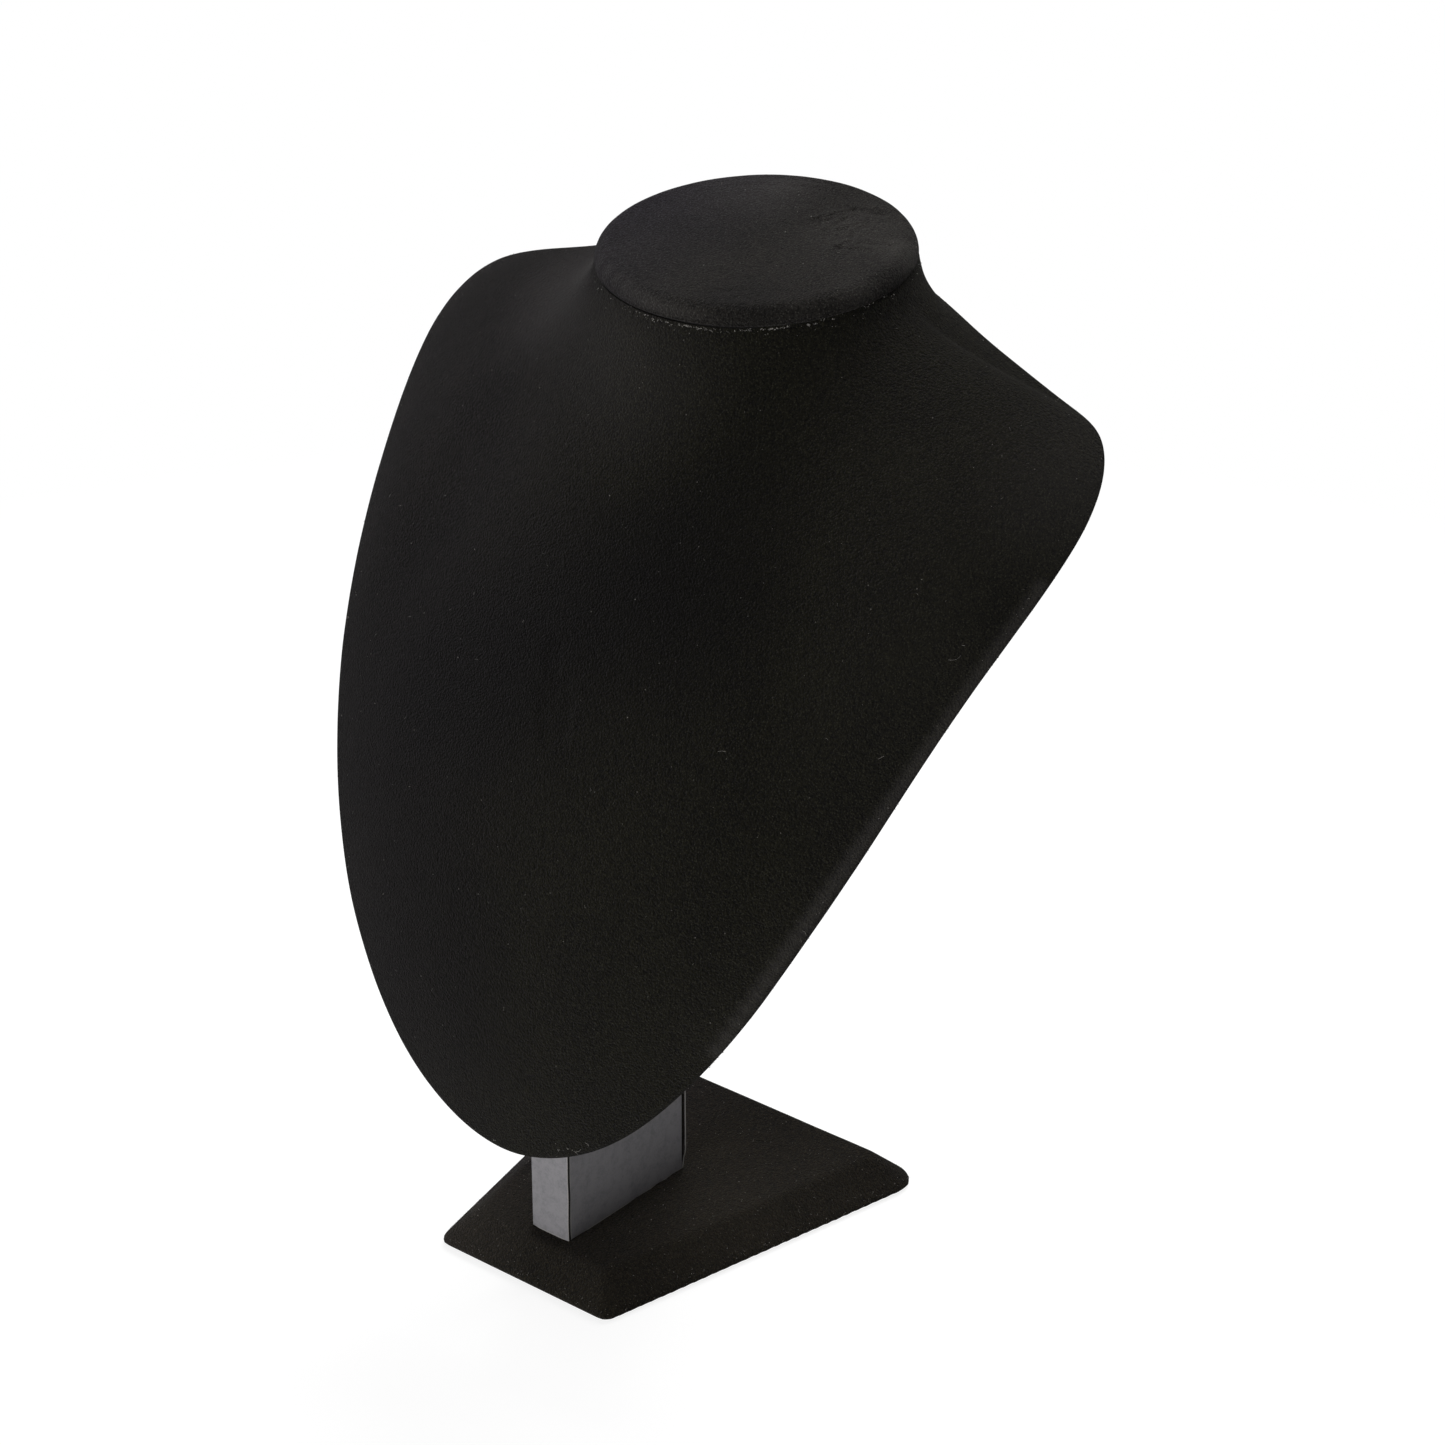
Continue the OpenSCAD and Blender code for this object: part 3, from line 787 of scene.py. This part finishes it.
class STAND_OT_bust_velvet(bpy.types.Operator):
    """Lays velvet over the bust, gathered under the cap and pleated where it turns inside"""

    bl_idname = "stand.bust_velvet"
    bl_label = "Bust velvet"

    def execute(self, context):
        velvet = settings().velvet
        cloth, form = velvet_and_form()
        make_quads(form)
        wall = BVHTree.FromBMesh(form)
        form.free()
        make_quads(cloth)
        hidden = [
            f for f in cloth.faces
            if CAP.flat(f.calc_center_median())[2] > -SEAM_BELOW - 0.1
            and math.hypot(*CAP.flat(f.calc_center_median())[:2]) < CAP_HIDES
        ]
        bmesh.ops.delete(cloth, geom=hidden, context="FACES")
        skin = rounded(cloth, 3)

        def height(v):
            u, w, up = CAP.flat(v.co)
            # Velvet this far from the outside of the wall is the hem on its inside, with pleats
            # about 6 mm apart that run over the wall's edge
            if wall.find_nearest(v.co)[3] > 2.0 * MM:
                turn = v.co / (9.0 * MM)
                pleat = noise.noise(Vector((turn.x * 1.4, turn.y * 0.6, turn.z * 1.4)))
                return velvet.pleat_depth * (abs(pleat) * 1.6 - 0.25)
            swell = velvet.unevenness * (wander(v.co, 26.0) + 0.5 * wander(v.co, 11.0, 5.0))
            swell += velvet.loft
            below = -up - SEAM_BELOW
            # The cap gathers the velvet over 9 mm of the neck, most in front: gathers 1.5 mm apart
            # with finer ones between them, and a groove right under the cap
            if below < 9.0:
                bearing = math.atan2(u, -w)
                gather = noise.noise(Vector((bearing * 34.0, below * 0.25, 0.0)))
                fine = noise.noise(Vector((bearing * 75.0, below * 0.8, 4.0)))
                front = 0.35 + 0.65 * bell(math.degrees(bearing), 75.0)
                swell += velvet.pucker * front * bell(below - 2.0, 3.4) * (gather + 0.6 * fine)
                swell -= velvet.pinch * bell(below, 1.1)
            return swell

        push_out(skin, height)
        # Marks of painted light and painted shade on the bust, and a painted highlight of sheen
        # along the rim
        light_marks = tuple(places_seen(BVHTree.FromBMesh(skin), BUST_PAINTED_LIGHT + RIM_PAINTED_SHEEN))
        pile = flock_velvet(
            "black flock velvet", ("060603", "19180e", "353429", "121111"), sheen=0.056,
            relief_mm=1.5, dusty_share=0.14, light_marks=light_marks,
        )
        piece = add_piece("bust_cloth", skin, [pile], [CHEST_NODE])
        return {"FINISHED"}


class STAND_OT_cap_velvet(bpy.types.Operator):
    """Covers the cap: a disc of velvet, creased at the back right, turned under its edge"""

    bl_idname = "stand.cap_velvet"
    bl_label = "Cap velvet"

    steps: IntProperty(name="Steps", description="Steps round the cap", default=260, min=32)
    hem: size_in_mm("Hem", "Width turned under", 10.0)
    droop: size_in_mm("Droop", "Fall of the front edge", 0.25)
    edge: size_in_mm("Edge", "Radius of the upper edge", 5.2)
    tuck: size_in_mm("Tuck", "Radius of the lower edge", 0.6)
    bite: size_in_mm("Bite", "How far its edge presses into the velvet below", 0.3)

    def execute(self, context):
        velvet = settings().velvet
        radius = CAP.half_w / MM
        depth = (CAP.top - CAP.underside) / MM
        bm = bmesh.new()
        # Its profile, from the middle of the top over both edges to the end of the hem
        top_rows, edge_rows, wall_rows, tuck_rows, hem_rows = 56, 8, 4, 4, 5
        points = [((radius - self.edge) * (k / top_rows), 0.0) for k in range(top_rows + 1)]
        for k in range(1, edge_rows + 1):
            turn = math.radians(90 / edge_rows * k)
            points.append((
                radius - self.edge * (1 - math.sin(turn)), self.edge * (math.cos(turn) - 1)
            ))
        foot = depth + self.bite
        wall = foot - self.edge - self.tuck
        points += [(radius, -self.edge - wall * k / wall_rows) for k in range(1, wall_rows + 1)]
        for k in range(1, tuck_rows + 1):
            turn = math.radians(90 / tuck_rows * k)
            points.append((
                radius - self.tuck * (1 - math.cos(turn)), -foot + self.tuck * (1 - math.sin(turn))
            ))
        points.append((radius - self.tuck - 1.0, -foot))
        under = radius - self.tuck - 2.0
        points += [(under - self.hem * k / hem_rows, -depth) for k in range(hem_rows + 1)]
        chain = [bm.verts.new((x * MM, 0.0, z * MM)) for x, z in points]
        edges = [bm.edges.new(pair) for pair in zip(chain, chain[1:])]
        bmesh.ops.spin(
            bm, geom=chain + edges, cent=(0, 0, 0), axis=(0, 0, 1), angle=2 * math.pi,
            steps=self.steps, use_merge=True,
        )
        bmesh.ops.remove_doubles(bm, verts=bm.verts, dist=WELD)
        bmesh.ops.recalc_face_normals(bm, faces=bm.faces)
        bmesh.ops.scale(bm, vec=(1.0, CAP.half_d / CAP.half_w, 1.0), verts=bm.verts)
        bmesh.ops.transform(bm, matrix=CAP.matrix(), verts=bm.verts)
        highest = max(bm.faces, key=lambda f: f.calc_center_median().dot(CAP.out))
        if highest.normal.dot(CAP.out) < 0:
            bmesh.ops.reverse_faces(bm, faces=bm.faces)
        bm = in_fixed_order(bm)

        (patch_u, patch_v), patch_reach, patch_depth = CAP_GATHERS
        half_d = CAP.half_d / MM
        # The top falls off this far in front of its middle
        droop_from = 14.0

        def height(v):
            u, w, up = CAP.flat(v.co)
            waves = wander(v.co, 22.0, 9.0) + 0.6 * wander(v.co, 7.0, 2.0)
            swell = 0.6 * velvet.unevenness * waves
            # The pile stands out past the cloth
            swell += 0.3
            if up < -self.edge - 0.2:
                return swell
            swell -= self.droop * (max(0.0, -w - droop_from) / (half_d - droop_from)) ** 2
            # Creases and folds end a little way down the rounded edge
            if up < -1.5:
                return swell
            swell += 1.2 * crease_height(u, w)
            patch = bell(math.hypot(u - patch_u, w - patch_v), patch_reach)
            ripple = noise.noise(Vector((u / 2.6 + w / 6.0, w / 3.4, 1.0)))
            swell += patch_depth * patch * ripple
            from_edge = (1 - math.hypot(u / radius, w / half_d)) * half_d
            # The long folds lie straight behind a place 8 mm left of the middle, and fade over
            # some 50 degrees to each side
            behind = bell(math.degrees(math.atan2(u + 8.0, w)), 52.0)
            for inset, fold, width in CAP_BACK_FOLDS:
                wave = inset + 1.2 * noise.noise(Vector((u / 16.0, inset, 0.0)))
                swell += behind * fold * bell(from_edge - wave, width)
            return swell

        push_out(bm, height)
        # The photograph shows a light band on the front left of the cap's edge, 9 pixels above the
        # seam and brightest at column 640, painted on as a highlight
        edge = tuple((x, seam_row(x) - 9, 4.6, 1.7 * bell(x - 640, 60)) for x in range(598, 760, 9))
        light_marks = tuple(places_seen(BVHTree.FromBMesh(bm), CAP_PAINTED_LIGHT + edge))
        # The same cloth as the bust's, in paler tones: painted light for the cap's brighter top
        pile = flock_velvet(
            "black flock velvet, cap", ("0d0c0a", "282622", "4a4844", "1c1b1a"), sheen=0.063,
            relief_mm=1.5, dusty_share=0.10, light_marks=light_marks,
        )
        piece = add_piece("cap_cloth", bm, [pile], ["cap_velvet"])
        return {"FINISHED"}


class STAND_OT_base_velvet(bpy.types.Operator):
    """Covers the base: velvet pulled over the bevels, softened at every edge, turned under"""

    bl_idname = "stand.base_velvet"
    bl_label = "Base velvet"

    mesh_size: size_in_mm("Mesh", "Size of the mesh", 0.95)
    hem: size_in_mm("Hem", "Width turned under", 13.0)

    def execute(self, context):
        velvet = settings().velvet
        bm = copy_of_node("base_velvet")
        hull = bmesh.ops.convex_hull(bm, input=bm.verts)
        spare = {g for g in hull["geom_interior"] + hull["geom_unused"] if g.is_valid}
        bmesh.ops.delete(
            bm, geom=[g for g in spare if isinstance(g, bmesh.types.BMVert)], context="VERTS"
        )
        kept = {f for f in hull["geom"] if isinstance(f, bmesh.types.BMFace) and f.is_valid}
        bmesh.ops.delete(bm, geom=[f for f in bm.faces if f not in kept], context="FACES_ONLY")
        bmesh.ops.recalc_face_normals(bm, faces=bm.faces)
        block = with_modifiers(bm, [
            ("REMESH", {"mode": "VOXEL", "voxel_size": self.mesh_size * MM}),
            ("SMOOTH", {"factor": 0.5, "iterations": 8}),
        ])
        low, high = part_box("base_velvet")
        # Underneath, only the hem is there: what lies near the lowest vertices of the sides
        foot = [
            v.co.copy() for v in block.verts
            if v.co.z < low[2] + 1.2 * MM and abs(v.normal.z) < 0.8
        ]
        outline = near_any(foot, self.hem * MM)
        middle = [
            f for f in block.faces
            if f.normal.z < -0.9 and not outline(f.calc_center_median())
        ]
        bmesh.ops.delete(block, geom=middle, context="FACES")

        def height(v):
            if v.normal.z < -0.7:
                return 0.0
            waves = 0.8 * wander(v.co, 24.0, 6.0) + 0.5 * wander(v.co, 8.0, 1.0)
            return velvet.unevenness * waves

        push_out(block, height)
        # Marks of painted light and painted shade on the base
        light_marks = tuple(places_seen(BVHTree.FromBMesh(block), BASE_PAINTED_LIGHT))
        # The same cloth as the bust's, in paler tones: painted light
        pile = flock_velvet(
            "black flock velvet, base", ("0a0906", "211d14", "403a2d", "191713"), sheen=0.058,
            relief_mm=1.6, dusty_share=0.45, light_marks=light_marks,
        )
        piece = add_piece("base_cloth", block, [pile], ["base_velvet"])
        return {"FINISHED"}


class STAND_OT_post_wrap(bpy.types.Operator):
    """Folds the grey paper round the post: scored at the front right, its last edge loose behind"""

    bl_idname = "stand.post_wrap"
    bl_label = "Post wrap"

    score_left: FloatProperty(
        name="Left", description="Share of the paper's thickness left under the score", default=0.25
    )
    row: size_in_mm("Row", "Height of a row of the mesh", 2.0)
    worn: size_in_mm("Worn", "Width of the worn paper edges", 0.35)
    fold: size_in_mm("Fold", "Width of the folded corners", 0.2)

    def execute(self, context):
        wrap = settings().wrap
        post_low, post_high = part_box("post_board")
        low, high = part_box("post_wrap")
        half = post_high[0]
        front, back = post_low[1], post_high[1]
        thick = front - low[1]
        out = half + thick
        lift = high[1] - back - thick
        middle_lift = 0.3 * lift
        score_x = half + thick * self.score_left
        score_y = front + wrap.score_width * MM
        outline = [
            (out, back + thick + lift), (0.0, back + thick + middle_lift), (-out, back + thick),
            (-out, low[1]), (out, low[1]),
            (out, front), (score_x, front), (score_x, score_y), (out, score_y),
            (out, back), (half, back),
            (half, front), (-half, front),
            (-half, back), (0.0, back + middle_lift), (out, back + lift),
        ]
        bm = bmesh.new()
        ring = [bm.verts.new((x, y, low[2])) for x, y in outline]
        floor = bm.faces.new(ring)
        walls = bmesh.ops.extrude_face_region(bm, geom=[floor])
        raised = [v for v in walls["geom"] if isinstance(v, bmesh.types.BMVert)]
        bmesh.ops.translate(bm, vec=(0.0, 0.0, high[2] - low[2]), verts=raised)
        bmesh.ops.recalc_face_normals(bm, faces=bm.faces)
        corners = [
            e for e in bm.edges
            if abs(e.verts[0].co.z - e.verts[1].co.z) > 10 * MM
            and abs(abs(e.verts[0].co.x) - out) < WELD
            and min(abs(e.verts[0].co.y - y) for y in (low[1], back + thick)) < WELD
        ]
        bmesh.ops.bevel(
            bm, geom=corners, offset=self.fold * MM, segments=3, profile=0.5, affect="EDGES",
            material=-1,
        )

        def slice_at(place, normal):
            bmesh.ops.bisect_plane(
                bm, geom=bm.verts[:] + bm.edges[:] + bm.faces[:], plane_co=place, plane_no=normal,
                dist=WELD,
            )

        # Slices that let the panels and the loose edge bend
        rows = int((high[2] - low[2]) / (self.row * MM))
        for k in range(1, rows):
            slice_at((0, 0, low[2] + (high[2] - low[2]) * k / rows), (0, 0, 1))
        columns = 14
        for k in range(1, columns):
            slice_at((0, front + 1.5 * MM + (back - front - 2 * MM) * k / columns, 0), (0, 1, 0))
        for share in (-0.6, -0.2, 0.2, 0.6):
            slice_at((half * share, 0, 0), (1, 0, 0))
        worn, skin = self.worn * MM, 0.02 * MM
        slice_at((0, 0, low[2] + worn), (0, 0, 1))
        slice_at((0, score_y + worn, 0), (0, 1, 0))

        def paper_side(face):
            """0 the coated face, 1 a cut or worn edge, 2 the dark paper back, which paints the
            shade inside the score, in the fold beside it and behind the loose edge.
            """
            centre, normal = face.calc_center_median(), face.normal
            on_right = centre.x > out - skin
            outside = abs(centre.x) > out - skin or centre.y < low[1] + skin
            # Inside the score: painted shade
            if score_x - WELD < centre.x < out - skin and front - WELD < centre.y < score_y + WELD:
                return 2
            if abs(normal.z) > 0.9:
                return 1
            # The loose edge's inside: the paper's back, dark as painted shade of the slot
            if centre.y > back + WELD and normal.y < -0.5:
                return 2
            if (
                abs(centre.y - back) < 0.05 * MM and centre.x > half and normal.y > 0.9
                or centre.y > back and centre.x > out - 0.05 * MM and normal.x > 0.9
                or outside and centre.z < low[2] + worn
                or centre.x > out - self.fold * MM and centre.y < low[1] + self.fold * MM
            ):
                return 1
            # The narrow strip in front of the score: painted shade of the fold
            if on_right and centre.y < front + WELD:
                return 2
            return 1 if on_right and centre.y < score_y + worn else 0

        bm.normal_update()
        for face in bm.faces:
            face.material_index = paper_side(face)

        for v in bm.verts:
            above = (v.co.z - low[2]) / MM
            shift = Vector((0.0, 0.0, 0.0))
            # The paper's cut edge at the foot isn't quite straight
            if above < 0.1:
                shift.z += 1.1 * MM * max(0.0, wander(v.co, 7.0, 8.0) + 0.1)
            # The score wanders a little on its way up
            if v.co.x > half and v.co.y < score_y + 0.1 * MM:
                shift.y += 0.3 * MM * wander(Vector((0, 0, v.co.z)), 12.0, 1.0)
            # The panels lie a little unevenly on the board
            if abs(v.co.x) > half + WELD and v.co.y < back:
                shift.x += math.copysign(0.07 * MM, v.co.x) * wander(v.co, 17.0, 2.0)
            if v.co.y < front - WELD:
                shift.y -= 0.06 * MM * (1 + wander(v.co, 13.0, 3.0))
            # The loose edge waves, and curls in towards its foot
            if v.co.y > back + WELD:
                share = max(0.0, (v.co.x + out) / (2 * out))
                wave = 0.35 * 0.35 * wander(Vector((0, 0, v.co.z)), 24.0, 4.0)
                curl = max(0.0, 1 - above / wrap.curl_height) ** 1.1
                shift.y += lift * share * share * (wave - 0.95 * curl)
                # A nick in it stands out 5 to 9 mm above the foot
                if share > 0.9 and 5.0 < above < 9.0:
                    shift.x += 0.5 * MM * math.sin(math.pi * (above - 5.0) / 4.0)
            v.co += shift
        papers = [covering_paper(wrap.colour), paper_core(), paper_back_and_shade()]
        add_piece("post_wrap_paper", bm, papers, ["post_wrap"], fold_degrees=40)
        return {"FINISHED"}


class STAND_OT_boards(bpy.types.Operator):
    """Finishes the boards, the glue blocks, the paper sheet and the screws"""

    bl_idname = "stand.boards"
    bl_label = "Boards and fixings"

    def execute(self, context):
        finishes = (
            (fibreboard(), ("base_board", "post_board", "cap_board")),
            (planed_softwood(), ("left_glue_block", "right_glue_block")),
            (black_paper(), ("base_sheet",)),
            (zinc_plate(), ("base_screws", "bust_screws")),
        )
        for material, names in finishes:
            for name in names:
                for slot in frame["nodes"][name].material_slots:
                    slot.material = material
        return {"FINISHED"}


class Fibres:
    """Short bent fibres, gathered as open curves and made one mesh."""

    def __init__(self, thickness_mm):
        self.curve = bpy.data.curves.new("work", "CURVE")
        self.curve.dimensions = "3D"
        self.curve.bevel_depth = thickness_mm / 2 * MM
        self.curve.bevel_resolution = 0
        self.curve.use_fill_caps = True

    def add(self, points, radius):
        """Adds a fibre through points, as thick as the set's thickness times radius."""
        spline = self.curve.splines.new("POLY")
        spline.points.add(len(points) - 1)
        for spot, point in zip(spline.points, points):
            spot.co = (*point, 1.0)
            spot.radius = radius

    def bmesh(self):
        """All fibres as one bmesh of closed tubes. The curves are used up."""
        obj = add_object("work", self.curve)
        bm = bmesh.new()
        depsgraph = bpy.context.evaluated_depsgraph_get()
        mesh = bpy.data.meshes.new_from_object(obj, depsgraph=depsgraph)
        bm.from_mesh(mesh)
        bpy.data.objects.remove(obj)
        bpy.data.curves.remove(self.curve)
        bpy.data.meshes.remove(mesh)
        return bm


def bent_fibre(draw, place, normal, length_mm, stand=0.3):
    """The points of one curled fibre that lies on a surface and lifts a little at its end."""
    along = normal.orthogonal().normalized()
    along.rotate(Matrix.Rotation(draw.uniform(0, 2 * math.pi), 3, normal))
    side = normal.cross(along)
    bend = draw.uniform(-0.8, 0.8)
    steps = 5
    points = []
    for k in range(steps + 1):
        share = k / steps
        turn = bend * share
        lift = 0.12 + stand * length_mm * share * share * draw.uniform(0.6, 1.2)
        points.append(
            place + (along * math.cos(turn) + side * math.sin(turn)) * length_mm * MM * share
            + normal * lift * MM
        )
    return points


def random_places(draw, piece, count, keep):
    """Random places on a piece's outside, evenly over its area, where keep allows them."""
    faces = [p for p in piece.data.polygons if keep(p)]
    sizes = [p.area for p in faces]
    for polygon in draw.choices(faces, sizes, k=count):
        corners = [piece.data.vertices[i].co for i in polygon.vertices]
        weights = [draw.random() for _ in corners]
        place = sum((c * w for c, w in zip(corners, weights)), Vector()) / sum(weights)
        yield place, Vector(polygon.normal)


def tree_of(piece):
    """A tree to cast rays on a piece."""
    return BVHTree.FromPolygons(
        [v.co for v in piece.data.vertices], [tuple(p.vertices) for p in piece.data.polygons]
    )


class STAND_OT_lint(bpy.types.Operator):
    """Scatters lint over the velvet, with the hairs and specks that show in the photograph"""

    bl_idname = "stand.lint"
    bl_label = "Lint"

    def execute(self, context):
        lint = settings().lint
        draw = random.Random(lint.seed)
        material = cotton_lint("98938d")
        objects = bpy.context.scene.objects
        for name, cloth, count, keep in (
            ("lint_on_bust", "bust_cloth", lint.on_bust, lambda p: p.normal.y < 0.4),
            ("lint_on_base", "base_cloth", lint.on_base, lambda p: p.normal.z > 0.1),
            ("lint_on_base_edge", "base_cloth", lint.on_base // 2,
             lambda p: p.normal.z > 0.1 and p.center.z < 5 * MM),
            ("lint_on_cap", "cap_cloth", lint.on_cap, lambda p: p.normal.z > 0.5),
        ):
            piece = objects[cloth]
            fibres = Fibres(0.09)
            for place, normal in random_places(draw, piece, count, keep):
                length = draw.choice((0.12, 0.16, 0.2, 0.25, 0.3, 0.4, 0.5, 1.0))
                size = draw.uniform(0.8, 2.4) if length < 0.35 else draw.uniform(0.4, 0.8)
                fibres.add(bent_fibre(draw, place, normal, length), size)
            if cloth == "bust_cloth":
                tree = tree_of(piece)
                for x, y, length in HAIR_PIXELS + RIM_FLUFF_PIXELS:
                    place, normal = PHOTO.hit(tree, x, y)
                    if place is not None:
                        fibres.add(bent_fibre(draw, place, normal, length, 0.2), 1.0)
            add_piece(name, fibres.bmesh(), [material])
        return {"FINISHED"}


class STAND_OT_seam_fluff(bpy.types.Operator):
    """Adds the pale fluff: a row where the velvet meets the cap, and a sparse fringe on the rim,
    which is also a painted highlight
    """

    bl_idname = "stand.seam_fluff"
    bl_label = "Seam and rim fluff"

    round_bits: IntProperty(name="Round", description="Bits all round the seam", default=110, min=0)
    rim_bits: IntProperty(name="Rim", description="Bits along the rim", default=240, min=0)

    def execute(self, context):
        draw = random.Random(settings().lint.seed + 1)
        cloth = bpy.context.scene.objects["bust_cloth"]
        tree = tree_of(cloth)
        fibres = Fibres(0.11)

        def lay(place, normal, length, size):
            fibres.add(bent_fibre(draw, place, normal, length), size)

        for start, end, count, spread in SEAM_CLUSTERS:
            for _ in range(count):
                x = draw.uniform(start, end)
                y = seam_row(x) + 3.9 + abs(draw.gauss(0.0, spread))
                clump = draw.choice((1, 1, 2, 5))
                for _ in range(clump):
                    across, down = draw.gauss(0.0, 1.1), abs(draw.gauss(0.0, 0.6))
                    place, normal = PHOTO.hit(tree, x + across, y + down)
                    if place is not None:
                        length = draw.uniform(0.1, 0.4)
                        lay(place, normal, length, draw.choice((0.6, 1.0, 1.6, 2.4)))
        for _ in range(self.round_bits):
            turn = draw.uniform(-math.pi, math.pi)
            outward = (CAP.right * math.sin(turn) - CAP.back * math.cos(turn)).normalized()
            axis = CAP.origin - CAP.out * (SEAM_BELOW + 0.4 + abs(draw.gauss(0.0, 1.2))) * MM
            place, normal, _, _ = tree.ray_cast(axis + outward * 90 * MM, -outward)
            if place is not None:
                lay(place, normal, draw.uniform(0.12, 0.36), draw.uniform(0.6, 1.6))
        add_piece("seam_fluff", fibres.bmesh(), [cotton_lint("a5a19b")])

        # The fringe keeps to the rim: the corners where the velvet turns inside lie 3.65 mm from
        # the form that it is glued to
        # The fringe's pale fibres are loose fuzz that also paint the thin highlight along the rim's
        # edge, thickest low on the right
        fibres = Fibres(0.12)
        cage, form = velvet_and_form()
        wall = BVHTree.FromBMesh(form)
        form.free()
        corners = [
            v.co.copy() for v in cage.verts if 3.45 * MM < wall.find_nearest(v.co)[3] < 3.85 * MM
        ]
        cage.free()
        by_corner = near_any(corners, 6.5 * MM)

        def on_rim(polygon):
            return (
                by_corner(polygon.center)
                and 1.05 * MM < wall.find_nearest(polygon.center)[3] < 2.4 * MM
            )

        def low(polygon):
            return polygon.center.z < 120 * MM and polygon.center.x > -5 * MM and on_rim(polygon)

        for count, keep in ((self.rim_bits, on_rim), (self.rim_bits, low)):
            for place, normal in random_places(draw, cloth, count, keep):
                lay(place, normal, draw.uniform(0.15, 0.45), draw.uniform(0.5, 1.3))
        add_piece("rim_fringe", fibres.bmesh(), [cotton_lint("a09b94")])
        return {"FINISHED"}


class STAND_OT_stage(bpy.types.Operator):
    """Sets the floor, the soft light and the photograph's camera"""

    bl_idname = "stand.stage"
    bl_label = "Stage"

    def execute(self, context):
        stage = settings().stage
        scene = bpy.context.scene
        scene.view_settings.view_transform = "Standard"
        self.floor()
        self.world(stage.sky)
        for name, place, watts in (
            ("front", (0.0, -2.0, 0.4), stage.front_watts),
            ("back", (-0.2, 1.2, 2.0), stage.back_watts),
            ("left", (-1.3, 1.3, 1.5), stage.left_watts),
            ("top", (0.0, 0.0, 2.3), stage.top_watts),
        ):
            self.lamp(name, Vector(place), watts)
        data = bpy.data.cameras.new("camera")
        data.sensor_width = SENSOR
        data.sensor_fit = "HORIZONTAL"
        data.lens = PHOTO_FOCUS_PX / PHOTO_SIDE * SENSOR
        scene.camera = add_object("camera", data)
        scene.camera.matrix_world = PHOTO.matrix()
        return {"FINISHED"}

    def floor(self):
        """White paper that takes a soft shadow near the stand and has no horizon."""
        bm = bmesh.new()
        bmesh.ops.create_grid(bm, x_segments=1, y_segments=1, size=12.0)
        bmesh.ops.translate(bm, vec=(0.0, 0.0, CAD_BOX[0][2] - 0.1 * MM), verts=bm.verts)
        mesh = mesh_from("floor", bm)
        material, tree, place = new_material("white paper floor")
        lit = add_node(tree, "BsdfDiffuse", {"Color": to_linear("e6e6e6")})
        shadow = add_node(tree, "BsdfDiffuse", {"Color": to_linear("8f8f8f")})
        glow = add_node(tree, "Emission", {"Color": WHITE, "Strength": 0.84})
        near = add_node(tree, "AddShader", {0: shadow, 1: glow})
        # White away from the stand, so that no horizon shows from a low view
        white = add_node(tree, "Emission", {"Color": WHITE, "Strength": 1.0})
        ring = add_node(tree, "VectorMath", {0: place}, "Value", operation="LENGTH")
        away = add_node(tree, "MapRange", {"Value": ring, "From Min": 0.3, "From Max": 0.7})
        shown = add_node(tree, "MixShader", {0: away, 1: near, 2: white})
        seen = add_node(tree, "LightPath", {}, "Is Camera Ray")
        mixed = add_node(tree, "MixShader", {0: seen, 1: lit, 2: shown})
        add_node(tree, "OutputMaterial", {"Surface": mixed})
        mesh.materials.append(material)
        add_object("floor", mesh)

    def world(self, sky):
        """A room that is seen white and lights the stand faintly from all round."""
        world = bpy.data.worlds.new("soft room")
        world.use_nodes = True
        tree = world.node_tree
        tree.nodes.clear()
        camera_ray = add_node(tree, "LightPath", {}, "Is Camera Ray")
        through = camera_ray.node.outputs["Is Transmission Ray"]
        seen = add_node(tree, "Math", {0: camera_ray, 1: through}, operation="MAXIMUM")
        room = add_node(tree, "Background", {"Color": to_linear("f2f2f4"), "Strength": sky})
        white = add_node(tree, "Background", {"Color": WHITE, "Strength": 1.0})
        mixed = add_node(tree, "MixShader", {0: seen, 1: room, 2: white})
        add_node(tree, "OutputWorld", {"Surface": mixed})
        bpy.context.scene.world = world

    def lamp(self, name, place, watts):
        """A soft square lamp that looks at the middle of the stand."""
        data = bpy.data.lights.new(name, "AREA")
        data.shape = "SQUARE"
        data.size = LAMP_SIZE
        data.energy = watts
        turn = (LAMP_TARGET - place).to_track_quat("-Z", "Y").to_matrix().to_4x4()
        add_object(name, data).matrix_world = Matrix.Translation(place) @ turn


OPERATORS = (
    STAND_OT_boards,
    STAND_OT_bust_moulding,
    STAND_OT_bust_velvet,
    STAND_OT_cap_velvet,
    STAND_OT_base_velvet,
    STAND_OT_post_wrap,
    STAND_OT_lint,
    STAND_OT_seam_fluff,
    STAND_OT_stage,
)


class STAND_PT_panel(bpy.types.Panel):
    """Lists the pieces of the stand and their settings"""

    bl_idname = "STAND_PT_panel"
    bl_label = "Necklace Stand"
    bl_space_type = "VIEW_3D"
    bl_region_type = "UI"
    bl_category = "Necklace Stand"

    def draw(self, context):
        for group in (settings().velvet, settings().wrap, settings().lint, settings().stage):
            box = self.layout.box()
            for name in group.bl_rna.properties.keys():
                if name not in ("rna_type", "name"):
                    box.prop(group, name)
        for operator in OPERATORS:
            self.layout.operator(operator.bl_idname)


CLASSES = (
    VelvetSettings, WrapSettings, LintSettings, StageSettings, StandSettings, *OPERATORS,
    STAND_PT_panel,
)


def register():
    for cls in CLASSES:
        bpy.utils.register_class(cls)
    bpy.types.Scene.necklace_stand = PointerProperty(type=StandSettings)


def unregister():
    del bpy.types.Scene.necklace_stand
    for cls in reversed(CLASSES):
        bpy.utils.unregister_class(cls)


def main():
    register()
    for operator in OPERATORS:
        group, name = operator.bl_idname.split(".")
        getattr(getattr(bpy.ops, group), name)()


if __name__ == "__main__":
    main()
